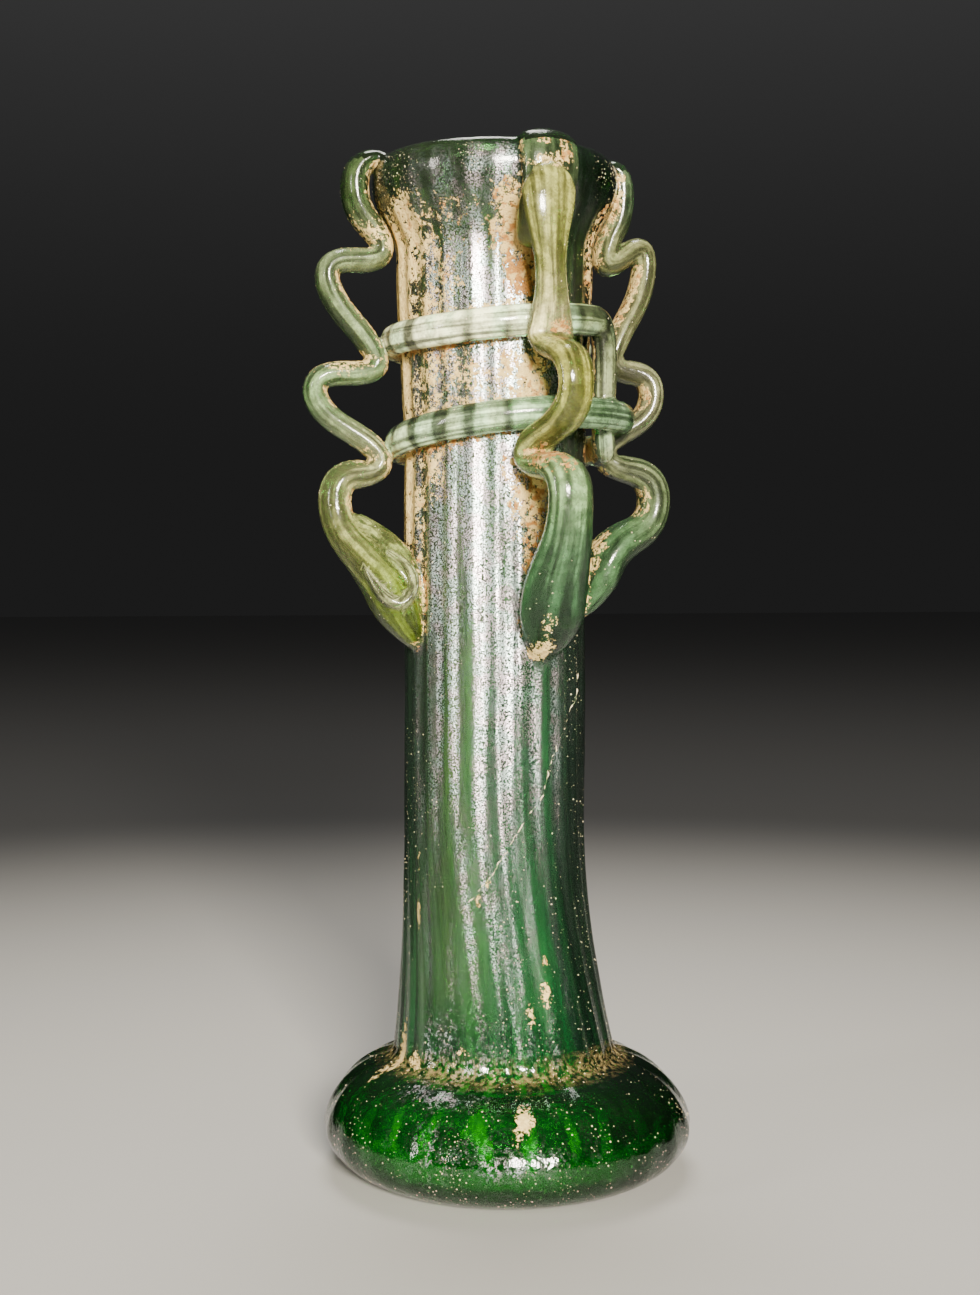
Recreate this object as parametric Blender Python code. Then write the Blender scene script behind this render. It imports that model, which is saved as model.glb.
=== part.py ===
"""Four-handled glass jar: a blown, ribbed tube on a cushion foot, with a wound trail and zigzag handles.

The maker blew the tube and its foot as one bubble, wound a hot trail twice around it, and then drew each
handle up from a drop of glass, in and out, to the lip. Hot glass welds to glass, so the jar is one solid.

Metres, +Z up. The origin is the middle of the foot's underside, on the surface that the jar stands on.
Angles go around the jar in degrees: 0 is the front (-Y) and 90 is the right-hand side (+X).
"""

import math

import bmesh
import bpy
from mathutils import Vector

# The foot, a hollow cushion
FOOT_REST_RADIUS = 0.0180
FOOT_RADIUS = 0.0262
FOOT_BULGE_HEIGHT = 0.0065
FOOT_HEIGHT = 0.0160
FOOT_ROUNDNESS = 1.65
FOOT_WALL = 0.0030
FLOOR_THICKNESS = 0.0032

# The tube, which springs from a crease on top of the foot
CREASE_RADIUS = 0.0157
TUBE_RADIUS = 0.0126
TUBE_WALL = 0.0020
TUBE_SPREAD_TOP = 0.0500
TUBE_LEAN = 0.0020
LEAN_TOP = 0.0450

# The neck and the mouth, with its thick rolled lip
RIM_HEIGHT = 0.1444
RIM_RADIUS = 0.0177
LIP_RISE = 0.0034
LIP_THICKNESS = 0.0036
MOUTH_HEIGHT = 0.0139
NECK_LENGTH = 0.0305
NECK_RADIUS = 0.0137
NECK_TOP = RIM_HEIGHT - MOUTH_HEIGHT
NECK_START = NECK_TOP - NECK_LENGTH

# The ribs that the mould left, which twist near the foot and fade at the lip
RIB_COUNT = 24
RIB_DEPTH = 0.0005
RIB_TWIST = 15.0
TWIST_TOP = 0.0620
RIB_FADE = 0.0060
STEPS_PER_RIB = 3

# The wound trail, from its free end on the right, around twice, with one step up. Turns are in degrees.
TRAIL_HALF_HEIGHT = 0.0023
TRAIL_HALF_DEPTH = 0.0017
TRAIL_START = 69.0
TRAIL_TURNED = 690.0
TRAIL_STEP_AT = 374.0
TRAIL_STEP_REACH = 60.0
TRAIL_BELOW_NECK = 0.0102
TRAIL_PITCH = 0.0129
LOWER_TRAIL_DROP = 0.0042
LOWER_DROP_TURNS = (40.0, 200.0)
UPPER_TRAIL_DROP = 0.0020
UPPER_DROP_TURNS = (390.0, 500.0)
TRAIL_STANDOFF = 0.0016
TRAIL_START_STANDOFF = 0.0058
TRAIL_START_REACH = 90.0
TRAIL_STEP_STANDOFF = 0.0034
TRAIL_TAPER = 0.6
TRAIL_TAPER_REACH = 70.0
TRAIL_CORNERS = 26
UPPER_TRAIL_HEIGHT = NECK_TOP - TRAIL_BELOW_NECK
LOWER_TRAIL_HEIGHT = UPPER_TRAIL_HEIGHT - TRAIL_PITCH

# The handles, each from a drop on the tube to a fold over the lip
HANDLE_TOUCH_RUN = 0.0017
DROP_LENGTH = 0.0110
DROP_MIDDLE = 0.45
DROP_STANDOFF = 0.0024
BOW_DROP = 0.0072
FOLD_RISE = 0.0003
FOLD_REACH = 0.0029

# Half the thickness and half the width of a handle at each of its stretches
HANDLE_SECTION = {
    "end": (0.0014, 0.0022),
    "drop": (0.0031, 0.0050),
    "first": (0.0024, 0.0032),
    "strap": (0.0018, 0.0030),
    "bow": (0.0021, 0.0037),
    "fold": (0.0013, 0.0036),
}

# A handle's drop ends this far below the trail's lower turn, and its loops sit in the stretches between
# the drop's end, the trail's two turns and the top of the neck. A loop is how far it reaches out from the
# tube, and its low and top corners as shares of its stretch. A touch is how far it sits above the
# stretch's upper end, and how far its middle stands off the tube. Turns are degrees aside for the drop,
# for each loop and touch in turn, and for the fold on the lip. The bow is how far it stands off the lip.
HANDLES = {
    "left": {
        "angle": -96.0,
        "below_trail": 0.0332,
        "loops": ((0.0106, 0.60, 0.84), (0.0130, 0.31, 0.68), (0.0106, 0.52, 0.94)),
        "touches": ((-0.0025, 0.0040), (-0.0030, 0.0040), (0.0009, 0.0028)),
        "turns": (17.0, 2.0, 0.0, 0.0, 0.0, 1.0, 0.0, 0.0),
        "bow": 0.0026,
    },
    "front": {
        "angle": 8.0,
        "below_trail": 0.0349,
        "loops": ((0.0111, 0.54, 0.77), (0.0108, -0.07, 0.53), (0.0093, 0.81, 1.66)),
        "touches": ((-0.0058, 0.0028), (-0.0022, 0.0038), (0.0009, 0.0026)),
        "turns": (7.0, 1.0, -4.0, 3.0, 2.0, -6.0, -4.0, 0.0),
        "bow": 0.0006,
    },
    "right": {
        "angle": 87.0,
        "below_trail": 0.0294,
        "loops": ((0.0116, 0.57, 0.86), (0.0106, 0.32, 0.73), (0.0091, 0.70, 1.31)),
        "touches": ((-0.0005, 0.0038), (-0.0016, 0.0044), (0.0006, 0.0028)),
        "turns": (4.0, 1.0, 0.0, -1.0, 0.0, 2.0, 0.0, 0.0),
        "bow": 0.0010,
    },
    "back": {
        "angle": 180.0,
        "below_trail": 0.0324,
        "loops": ((0.0110, 0.60, 0.86), (0.0124, 0.28, 0.68), (0.0103, 0.55, 1.02)),
        "touches": ((-0.0020, 0.0036), (-0.0023, 0.0038), (0.0009, 0.0028)),
        "turns": (-6.0, -2.0, 0.0, 2.0, 0.0, -2.0, 0.0, 0.0),
        "bow": 0.0018,
    },
}

ROD_SIDES = 8
ROD_END = 0.7
LOOP_STEPS = 3
OTHER_STEPS = 2

GLASS_COLOUR = (0.16, 0.36, 0.20, 1.0)
GLASS_ROUGHNESS = 0.12


def clear_scene():
    for old in list(bpy.data.objects):
        bpy.data.objects.remove(old)


def smooth_share(value, start, end):
    """0 before start, 1 after end, and an even slope-free change between them."""
    share = min(1.0, max(0.0, (value - start) / (end - start)))
    return share * share * (3.0 - 2.0 * share)


def lean(height):
    """How far the tube's middle has wandered to the left of the foot's middle at this height."""
    return -TUBE_LEAN * smooth_share(height, 0.0, LEAN_TOP)


def wall_radius(height):
    """Outer radius of the jar at a height, without its ribs, above the foot's bulge."""
    if height < FOOT_HEIGHT:
        rise = (height - FOOT_BULGE_HEIGHT) / (FOOT_HEIGHT - FOOT_BULGE_HEIGHT)
        run = (1.0 - max(0.0, rise) ** FOOT_ROUNDNESS) ** (1.0 / FOOT_ROUNDNESS)
        return CREASE_RADIUS + (FOOT_RADIUS - CREASE_RADIUS) * run
    spread = max(0.0, (TUBE_SPREAD_TOP - height) / (TUBE_SPREAD_TOP - FOOT_HEIGHT)) ** 2
    tube = TUBE_RADIUS + (CREASE_RADIUS - TUBE_RADIUS) * spread
    neck = (NECK_RADIUS - TUBE_RADIUS) * smooth_share(height, NECK_START, NECK_TOP)
    mouth = (RIM_RADIUS - NECK_RADIUS) * smooth_share(height, NECK_TOP, RIM_HEIGHT - LIP_RISE)
    return tube + neck + mouth


def rib_strength(height):
    """1 where the ribs are full, 0 under the foot and on the lip."""
    grows = smooth_share(height, 0.0, FOOT_BULGE_HEIGHT)
    fades = smooth_share(height, RIM_HEIGHT - LIP_RISE - RIB_FADE, RIM_HEIGHT - LIP_RISE)
    return grows * (1.0 - fades)


def rib_turn(height):
    """Degrees that the ribs have turned aside at this height: none on the tube, all of it at the foot."""
    return RIB_TWIST * (1.0 - smooth_share(height, FOOT_HEIGHT, TWIST_TOP))


def quarter(steps):
    """Angles from 0 to a right angle, in even steps, without the first."""
    return [math.pi / 2 * (i + 1) / steps for i in range(steps)]


def between(start, end, steps):
    """Even values from start to end, without the first."""
    return [start + (end - start) * (i + 1) / steps for i in range(steps)]


def outer_profile():
    """(radius, height) from the edge of the underside up to the top of the lip."""
    points = [(FOOT_REST_RADIUS, 0.0)]
    for a in quarter(3):
        radius = FOOT_REST_RADIUS + (FOOT_RADIUS - FOOT_REST_RADIUS) * math.sin(a)
        points.append((radius, FOOT_BULGE_HEIGHT * (1.0 - math.cos(a))))
    for a in quarter(4):
        height = FOOT_BULGE_HEIGHT + (FOOT_HEIGHT - FOOT_BULGE_HEIGHT) * math.sin(a)
        points.append((wall_radius(height), height))
    heights = between(FOOT_HEIGHT, TUBE_SPREAD_TOP, 4) + [TWIST_TOP, NECK_START]
    heights += between(NECK_START, NECK_TOP, 2) + between(NECK_TOP, RIM_HEIGHT - LIP_RISE, 4)
    points += [(wall_radius(height), height) for height in sorted(heights)]
    for a in quarter(3):
        radius = RIM_RADIUS - LIP_THICKNESS / 2 * (1.0 - math.cos(a))
        points.append((radius, RIM_HEIGHT - LIP_RISE * (1.0 - math.sin(a))))
    return points


def inner_profile():
    """(radius, height) from the inside of the lip down the bore and the foot's hollow to its floor."""
    lip_foot = RIM_HEIGHT - LIP_RISE
    points = []
    for a in quarter(3):
        radius = RIM_RADIUS - LIP_THICKNESS / 2 * (1.0 + math.sin(a))
        points.append((radius, lip_foot + LIP_RISE * math.cos(a)))
    bore = TUBE_RADIUS - TUBE_WALL
    neck_bore = NECK_RADIUS - TUBE_WALL
    mouth = RIM_RADIUS - LIP_THICKNESS
    for height in between(lip_foot, NECK_TOP, 3):
        points.append((neck_bore + (mouth - neck_bore) * smooth_share(height, NECK_TOP, lip_foot), height))
    points.append((bore, NECK_START))
    for height in between(TUBE_SPREAD_TOP, FOOT_HEIGHT, 3):
        points.append((wall_radius(height) - TUBE_WALL, height))
    roof = FOOT_HEIGHT - FOOT_WALL
    middle = (roof + FLOOR_THICKNESS) / 2
    hollow = FOOT_RADIUS - FOOT_WALL
    for a in quarter(4):
        radius = CREASE_RADIUS - TUBE_WALL + (hollow - CREASE_RADIUS + TUBE_WALL) * math.sin(a)
        points.append((radius, middle + (roof - middle) * math.cos(a)))
    for a in quarter(3):
        radius = FOOT_REST_RADIUS + (hollow - FOOT_REST_RADIUS) * math.cos(a)
        points.append((radius, middle - (middle - FLOOR_THICKNESS) * math.sin(a)))
    return points


def around(radius, height, angle):
    """The point at a radius, height and angle in degrees about the jar's wandering middle line."""
    a = math.radians(angle)
    return Vector((lean(height) + radius * math.sin(a), -radius * math.cos(a), height))


def ribbed_row(bm, radius, height):
    """One ring of the outside, with a ridge in every rib."""
    count = RIB_COUNT * STEPS_PER_RIB
    row = []
    for i in range(count):
        ridge = (1.0 + math.cos(2.0 * math.pi * i / STEPS_PER_RIB)) / 2.0
        out = radius + RIB_DEPTH * rib_strength(height) * ridge
        row.append(bm.verts.new(around(out, height, 360.0 * i / count + rib_turn(height))))
    return row


def smooth_row(bm, radius, height):
    """One ring of the inside, with half as many corners as the outside where that number is even."""
    count = RIB_COUNT * STEPS_PER_RIB
    count = count // 2 if count % 2 == 0 else count
    return [bm.verts.new(around(radius, height, 360.0 * i / count)) for i in range(count)]


def skin(bm, rows):
    """Joins rings into one tube. A ring may have as many corners as the one before it, or half as many."""
    for low, high in zip(rows, rows[1:]):
        step = len(low) // len(high)
        for i, corner in enumerate(high):
            after = high[(i + 1) % len(high)]
            span = [low[(i * step + k) % len(low)] for k in range(step + 1)]
            bm.faces.new((span[0], span[1], after, corner))
            if step == 2:
                bm.faces.new((span[1], span[2], after))


def cap(bm, row, tip):
    """Closes a ring with a fan to a point."""
    point = bm.verts.new(tip)
    for i, corner in enumerate(row):
        bm.faces.new((corner, row[(i + 1) % len(row)], point))


def finish_mesh(bm, name, material):
    """Turns the faces outwards and makes the mesh an object."""
    bmesh.ops.recalc_face_normals(bm, faces=bm.faces)
    mesh = bpy.data.meshes.new(name)
    bm.to_mesh(mesh)
    bm.free()
    mesh.materials.append(material)
    mesh.shade_smooth()
    made = bpy.data.objects.new(name, mesh)
    bpy.context.scene.collection.objects.link(made)
    return made


def blow_body(material):
    """The bubble: foot, tube and mouth, hollow from the lip down to the foot's floor."""
    bm = bmesh.new()
    rows = [ribbed_row(bm, radius, height) for radius, height in outer_profile()]
    rows += [smooth_row(bm, radius, height) for radius, height in inner_profile()]
    skin(bm, rows)
    cap(bm, rows[0], (0.0, 0.0, 0.0))
    cap(bm, rows[-1], (lean(FLOOR_THICKNESS), 0.0, FLOOR_THICKNESS))
    return finish_mesh(bm, "jar", material)


def rounded(corners, steps):
    """A smooth line from the first corner to the last, with as many steps in each bend as asked."""
    line = [corners[0]]
    start = corners[0]
    for i in range(1, len(corners) - 1):
        last = i == len(corners) - 2
        end = corners[i + 1] if last else (corners[i] + corners[i + 1]) / 2
        for share in between(0.0, 1.0, steps[i]):
            line.append(start * (1 - share) ** 2 + corners[i] * 2 * share * (1 - share) + end * share**2)
        start = end
    return line


def station(radius, height, angle, half_depth, half_width):
    """One corner of a rod's line, with half the rod's thickness away from the jar and half its width."""
    return Vector((radius, height, angle, half_depth, half_width))


def draw_rod(name, corners, steps, upright, material):
    """A flattened rod of hot glass along a rounded line. An upright one lies across the jar's own turn."""
    line = rounded(corners, steps)
    middles = [around(s[0], s[1], s[2]) for s in line]
    bm = bmesh.new()
    rows = []
    for i, (_, _, angle, half_depth, half_width) in enumerate(line):
        ahead = (middles[min(i + 1, len(line) - 1)] - middles[max(i - 1, 0)]).normalized()
        a = math.radians(angle)
        outward = Vector((math.sin(a), -math.cos(a), 0.0))
        aside = Vector((math.cos(a), math.sin(a), 0.0))
        if upright:
            width = (aside - ahead * aside.dot(ahead)).normalized()
            depth = width.cross(ahead)
        else:
            depth = (outward - ahead * outward.dot(ahead)).normalized()
            width = ahead.cross(depth)
        row = []
        for k in range(ROD_SIDES):
            b = 2.0 * math.pi * k / ROD_SIDES
            offset = depth * half_depth * math.sin(b) + width * half_width * math.cos(b)
            row.append(bm.verts.new(middles[i] + offset))
        rows.append(row)
    skin(bm, rows)
    cap(bm, rows[0], middles[0] + (middles[0] - middles[1]).normalized() * line[0][3] * ROD_END)
    cap(bm, rows[-1], middles[-1] + (middles[-1] - middles[-2]).normalized() * line[-1][3] * ROD_END)
    return finish_mesh(bm, name, material)


def trail_height(turned):
    """Height of the trail's middle after this many degrees, counted from its free end."""
    if turned < TRAIL_STEP_AT:
        return LOWER_TRAIL_HEIGHT - LOWER_TRAIL_DROP * smooth_share(turned, *LOWER_DROP_TURNS)
    return UPPER_TRAIL_HEIGHT - UPPER_TRAIL_DROP * smooth_share(turned, *UPPER_DROP_TURNS)


def trail_standoff(turned):
    """How far the trail's middle stands off the wall: loose at its free end and at the step."""
    near_start = 1.0 - smooth_share(turned, 0.0, TRAIL_START_REACH)
    near_step = 1.0 - smooth_share(abs(turned - TRAIL_STEP_AT), 0.0, TRAIL_STEP_REACH)
    loose = (TRAIL_START_STANDOFF - TRAIL_STANDOFF) * near_start
    return TRAIL_STANDOFF + loose + (TRAIL_STEP_STANDOFF - TRAIL_STANDOFF) * near_step


def wind_trail(material):
    """The trail: a lower turn, a step up, and an upper turn that thins out at its end."""
    spacing = TRAIL_TURNED / TRAIL_CORNERS
    turns = [i * spacing for i in range(TRAIL_CORNERS + 1) if abs(i * spacing - TRAIL_STEP_AT) > spacing / 2]
    turns += [TRAIL_STEP_AT - 1.0, TRAIL_STEP_AT + 1.0]
    corners = []
    for turned in sorted(turns):
        height = trail_height(turned)
        radius = wall_radius(height) + trail_standoff(turned)
        near_end = smooth_share(turned, TRAIL_TURNED - TRAIL_TAPER_REACH, TRAIL_TURNED)
        size = 1.0 - (1.0 - TRAIL_TAPER) * near_end
        angle = TRAIL_START - turned
        corners.append(station(radius, height, angle, TRAIL_HALF_DEPTH * size, TRAIL_HALF_HEIGHT * size))
    return draw_rod("trail", corners, [OTHER_STEPS] * len(corners), False, material)


def draw_handle(name, handle, material):
    """One handle, from the end of its drop up to its fold over the lip."""
    turns = iter(handle["turns"])
    corners = []
    steps = []

    def corner(height, radius, aside, kind, bend=OTHER_STEPS):
        corners.append(station(radius, height, handle["angle"] + aside, *HANDLE_SECTION[kind]))
        steps.append(bend)

    def tube(height):
        return wall_radius(min(height, NECK_TOP))

    foot = LOWER_TRAIL_HEIGHT - handle["below_trail"]
    aside = next(turns)
    corner(foot + HANDLE_SECTION["end"][0], tube(foot), aside, "end")
    corner(foot + DROP_LENGTH * DROP_MIDDLE, tube(foot) + DROP_STANDOFF, aside, "drop")
    corner(foot + DROP_LENGTH, tube(foot) + DROP_STANDOFF * 2, aside / 2, "drop")
    turned = (TRAIL_START - handle["angle"]) % 360.0
    levels = [foot, trail_height(turned), trail_height(turned + 360.0), NECK_TOP]
    for i, (reach, low, top) in enumerate(handle["loops"]):
        kind = "first" if i == 0 else "strap"
        aside = next(turns)
        for share in (low, top):
            height = levels[i] + (levels[i + 1] - levels[i]) * share
            corner(height, tube(height) + reach, aside, kind, LOOP_STEPS)
        rise, standoff = handle["touches"][i]
        aside = next(turns)
        height = levels[i + 1] + rise
        corner(height - HANDLE_TOUCH_RUN, tube(height) + standoff, aside, "strap")
        corner(height + HANDLE_TOUCH_RUN, tube(height) + standoff, aside, "strap")
    aside = next(turns)
    fold = HANDLE_SECTION["fold"][0]
    corner(RIM_HEIGHT - BOW_DROP, RIM_RADIUS + handle["bow"], aside, "bow")
    corner(RIM_HEIGHT - fold, RIM_RADIUS + handle["bow"], aside, "bow")
    corner(RIM_HEIGHT + FOLD_RISE, RIM_RADIUS - fold, aside, "fold")
    corner(RIM_HEIGHT - fold, RIM_RADIUS - FOLD_REACH, aside, "fold")
    return draw_rod(name + " handle", corners, steps, True, material)


def weld(body, rod):
    """Fuses a rod with the body, and leaves the rod itself as a hidden guide."""
    rod.hide_render = True
    rod.display_type = "WIRE"
    join = body.modifiers.new("weld " + rod.name, "BOOLEAN")
    join.operation = "UNION"
    join.solver = "EXACT"
    join.object = rod


def green_glass():
    material = bpy.data.materials.new("green glass")
    material.use_nodes = True
    shader = material.node_tree.nodes["Principled BSDF"]
    shader.inputs["Base Color"].default_value = GLASS_COLOUR
    shader.inputs["Roughness"].default_value = GLASS_ROUGHNESS
    shader.inputs["Metallic"].default_value = 0.0
    shader.inputs["Transmission Weight"].default_value = 1.0
    return material


def main():
    clear_scene()
    glass = green_glass()
    jar = blow_body(glass)
    weld(jar, wind_trail(glass))
    for name, handle in HANDLES.items():
        weld(jar, draw_handle(name, handle, glass))


main()
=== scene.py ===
# %% [markdown]
# Four-handled glass jar
#
# A glassmaker blew this jar more than fourteen hundred years ago to hold eye paint. It is a tall ribbed tube
# on a cushion foot, with a thread of glass wound twice around its neck and four zigzag handles folded over
# its lip. The lesson makes the glass first, then what the ground left on it, and then the light.
#
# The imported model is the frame: everything here is in metres, in its place.

# %% Load the frame
import math
import time

import bmesh
import bpy
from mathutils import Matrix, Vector, noise
from mathutils.bvhtree import BVHTree
from mathutils.kdtree import KDTree


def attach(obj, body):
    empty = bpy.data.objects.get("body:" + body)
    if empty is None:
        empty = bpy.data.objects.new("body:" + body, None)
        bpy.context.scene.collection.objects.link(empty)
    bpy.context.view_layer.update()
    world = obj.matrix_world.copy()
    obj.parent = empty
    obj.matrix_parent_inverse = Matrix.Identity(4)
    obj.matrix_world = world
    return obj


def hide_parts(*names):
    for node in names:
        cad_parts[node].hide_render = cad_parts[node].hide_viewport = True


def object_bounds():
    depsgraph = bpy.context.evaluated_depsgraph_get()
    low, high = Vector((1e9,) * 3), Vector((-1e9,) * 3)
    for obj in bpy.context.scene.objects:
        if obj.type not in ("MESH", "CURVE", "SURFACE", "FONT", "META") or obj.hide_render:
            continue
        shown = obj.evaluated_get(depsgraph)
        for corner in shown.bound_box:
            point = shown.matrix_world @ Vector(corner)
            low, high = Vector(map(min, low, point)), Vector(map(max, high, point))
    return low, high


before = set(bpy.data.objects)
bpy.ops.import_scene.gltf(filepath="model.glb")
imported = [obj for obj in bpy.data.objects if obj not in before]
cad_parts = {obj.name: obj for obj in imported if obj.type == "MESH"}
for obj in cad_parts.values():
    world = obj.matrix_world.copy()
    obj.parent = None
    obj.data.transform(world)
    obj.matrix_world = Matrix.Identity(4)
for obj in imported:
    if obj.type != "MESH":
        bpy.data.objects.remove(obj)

started = time.time()
cad_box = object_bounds()
MM = 0.001

# %% [markdown]
# The blown bubble
#
# The foot, the tube and the lip are one bubble of glass, blown into a ribbed mould and drawn out. The wall is
# a profile turned about a middle line that wanders a little to the left, as the hot tube did. Writing the
# profile as a formula keeps every later piece, such as the handles and the crust, exactly on the glass.

# %% Sizes of the bubble
FOOT_REST_RADIUS = 0.0180
FOOT_RADIUS = 0.0262
FOOT_BULGE_HEIGHT = 0.0065
FOOT_HEIGHT = 0.0160
FOOT_ROUNDNESS = 1.65
FOOT_WALL = 0.0030
FLOOR_THICKNESS = 0.0032
CREASE_RADIUS = 0.0157
TUBE_RADIUS = 0.0126
TUBE_WALL = 0.0020
TUBE_SPREAD_TOP = 0.0500
TUBE_LEAN = 0.0020
LEAN_TOP = 0.0450
RIM_HEIGHT = 0.1444
RIM_RADIUS = 0.0177
LIP_RISE = 0.0034
LIP_THICKNESS = 0.0036
NECK_RADIUS = 0.0137
NECK_TOP = RIM_HEIGHT - 0.0139
NECK_START = NECK_TOP - 0.0305
RIB_COUNT = 24
RIB_DEPTH = 0.0005
RIB_TWIST = 15.0
TWIST_TOP = 0.0620
RIB_FADE = 0.0060
RIB_ON_BULGE = 0.45
print("foot", round(2 * FOOT_RADIUS / MM, 1), "lip", round(2 * RIM_RADIUS / MM, 1), "height", RIM_HEIGHT / MM)


# %% Formulas of the bubble
def smooth_share(value, start, end):
    """0 before start, 1 after end, and an even change between them."""
    share = min(1.0, max(0.0, (value - start) / (end - start)))
    return share * share * (3.0 - 2.0 * share)


def window(value, rise, fall):
    """1 between two ranges, and an even change to 0 across each of them."""
    return smooth_share(value, *rise) * (1.0 - smooth_share(value, *fall))


def lean(height):
    """How far the middle line of the tube is to the side at a height."""
    return -TUBE_LEAN * smooth_share(height, 0.0, LEAN_TOP)


def wall_radius(height):
    """Outer radius of the jar, without its ribs, above the foot's bulge."""
    if height < FOOT_HEIGHT:
        rise = (height - FOOT_BULGE_HEIGHT) / (FOOT_HEIGHT - FOOT_BULGE_HEIGHT)
        run = (1.0 - max(0.0, rise) ** FOOT_ROUNDNESS) ** (1.0 / FOOT_ROUNDNESS)
        return CREASE_RADIUS + (FOOT_RADIUS - CREASE_RADIUS) * run
    spread = max(0.0, (TUBE_SPREAD_TOP - height) / (TUBE_SPREAD_TOP - FOOT_HEIGHT)) ** 2
    tube = TUBE_RADIUS + (CREASE_RADIUS - TUBE_RADIUS) * spread
    neck = (NECK_RADIUS - TUBE_RADIUS) * smooth_share(height, NECK_START, NECK_TOP)
    mouth = (RIM_RADIUS - NECK_RADIUS) * smooth_share(height, NECK_TOP, RIM_HEIGHT - LIP_RISE)
    return tube + neck + mouth


def rib_strength(height):
    """How far the ribs stand out: weak on the foot's bulge, full on the tube, and gone at the lip."""
    full = RIB_ON_BULGE + (1.0 - RIB_ON_BULGE) * smooth_share(height, FOOT_BULGE_HEIGHT, FOOT_HEIGHT)
    fades = smooth_share(height, RIM_HEIGHT - LIP_RISE - RIB_FADE, RIM_HEIGHT - LIP_RISE)
    return smooth_share(height, 0.0, FOOT_BULGE_HEIGHT) * full * (1.0 - fades)


def around(radius, height, angle):
    """The point at a radius, height and angle in degrees, 0 in front and 90 at the right."""
    a = math.radians(angle)
    return Vector((lean(height) + radius * math.sin(a), -radius * math.cos(a), height))


def wall_angle(co):
    """The angle around the jar of a point, as around() takes it."""
    return math.degrees(math.atan2(co.x - lean(co.z), -co.y))


def quarter(steps):
    """Even steps of a quarter turn, without the first one."""
    return [math.pi / 2 * (i + 1) / steps for i in range(steps)]


def between(start, end, steps):
    """Even steps from a start, left out, to an end."""
    return [start + (end - start) * (i + 1) / steps for i in range(steps)]


print("the tube is", round(2 * wall_radius(TUBE_SPREAD_TOP) / MM, 1), "mm wide where it is thinnest")


# %% Profiles of the bubble
def outer_profile():
    """From where the jar rests, up the outside to the top of the lip, as radius and height."""
    points = [(FOOT_REST_RADIUS, 0.0)]
    for a in quarter(12):
        radius = FOOT_REST_RADIUS + (FOOT_RADIUS - FOOT_REST_RADIUS) * math.sin(a)
        points.append((radius, FOOT_BULGE_HEIGHT * (1.0 - math.cos(a))))
    for a in quarter(16):
        height = FOOT_BULGE_HEIGHT + (FOOT_HEIGHT - FOOT_BULGE_HEIGHT) * math.sin(a)
        points.append((wall_radius(height), height))
    heights = between(FOOT_HEIGHT, NECK_TOP, 110) + between(NECK_TOP, RIM_HEIGHT - LIP_RISE, 12)
    points += [(wall_radius(height), height) for height in heights]
    for a in quarter(8):
        radius = RIM_RADIUS - LIP_THICKNESS / 2 * (1.0 - math.cos(a))
        points.append((radius, RIM_HEIGHT - LIP_RISE * (1.0 - math.sin(a))))
    return points


def inner_profile():
    """From the top of the lip down the bore and around the hollow of the foot to its floor."""
    lip_foot = RIM_HEIGHT - LIP_RISE
    points = []
    for a in quarter(8):
        radius = RIM_RADIUS - LIP_THICKNESS / 2 * (1.0 + math.sin(a))
        points.append((radius, lip_foot + LIP_RISE * math.cos(a)))
    neck_bore = NECK_RADIUS - TUBE_WALL
    mouth = RIM_RADIUS - LIP_THICKNESS
    for height in between(lip_foot, NECK_TOP, 10):
        points.append((neck_bore + (mouth - neck_bore) * smooth_share(height, NECK_TOP, lip_foot), height))
    for height in between(NECK_TOP, FOOT_HEIGHT, 60):
        points.append((wall_radius(height) - TUBE_WALL, height))
    roof = FOOT_HEIGHT - FOOT_WALL
    middle = (roof + FLOOR_THICKNESS) / 2
    hollow = FOOT_RADIUS - FOOT_WALL
    throat = CREASE_RADIUS - TUBE_WALL
    for a in quarter(10):
        points.append((throat + (hollow - throat) * math.sin(a), middle + (roof - middle) * math.cos(a)))
    for a in quarter(8):
        radius = FOOT_REST_RADIUS + (hollow - FOOT_REST_RADIUS) * math.cos(a)
        points.append((radius, middle - (middle - FLOOR_THICKNESS) * math.sin(a)))
    return points


print("the outside has", len(outer_profile()), "corners, the inside", len(inner_profile()))


# %% [markdown]
# The underside
#
# The maker pushed the hot base in a little and held it on an iron rod while finishing the lip. Where the rod
# broke off it left a rough ring, the pontil scar. The base is a shallow kick with that ring on it, and the
# jar rests on the rim of the kick.

# %% Profile of the underside
KICK_DEPTH = 0.0007
KICK_RADIUS = 0.0160
SCAR_RADIUS = 0.0052
SCAR_WIDTH = 0.0014
SCAR_HEIGHT = 0.0004


def underside_profile():
    """From the middle of the base out to where the jar rests."""
    points = []
    for radius in between(0.0, KICK_RADIUS, 24):
        kick = KICK_DEPTH * (1.0 - smooth_share(radius, SCAR_RADIUS, KICK_RADIUS))
        scar = SCAR_HEIGHT * math.exp(-(((radius - SCAR_RADIUS) / SCAR_WIDTH) ** 2))
        points.append((radius, kick - scar))
    return points


print("the underside has", len(underside_profile()), "corners")

# %% [markdown]
# Turning the bubble
#
# Blown glass is round because the iron is rolled all the time, so the mesh is turned too. The Spin tool or a
# Screw modifier could do it. Here rings of vertices are laid one above the other and joined, because the
# middle line leans and the inside needs only half as many corners as the ribbed outside. A cap with one
# middle vertex closes each end, so that the wall is one closed skin.


# %% Helpers that build meshes
def ring(bm, radius, height, count):
    """A level ring of vertices on the middle line of the jar."""
    return [bm.verts.new(around(radius, height, 360.0 * i / count)) for i in range(count)]


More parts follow.
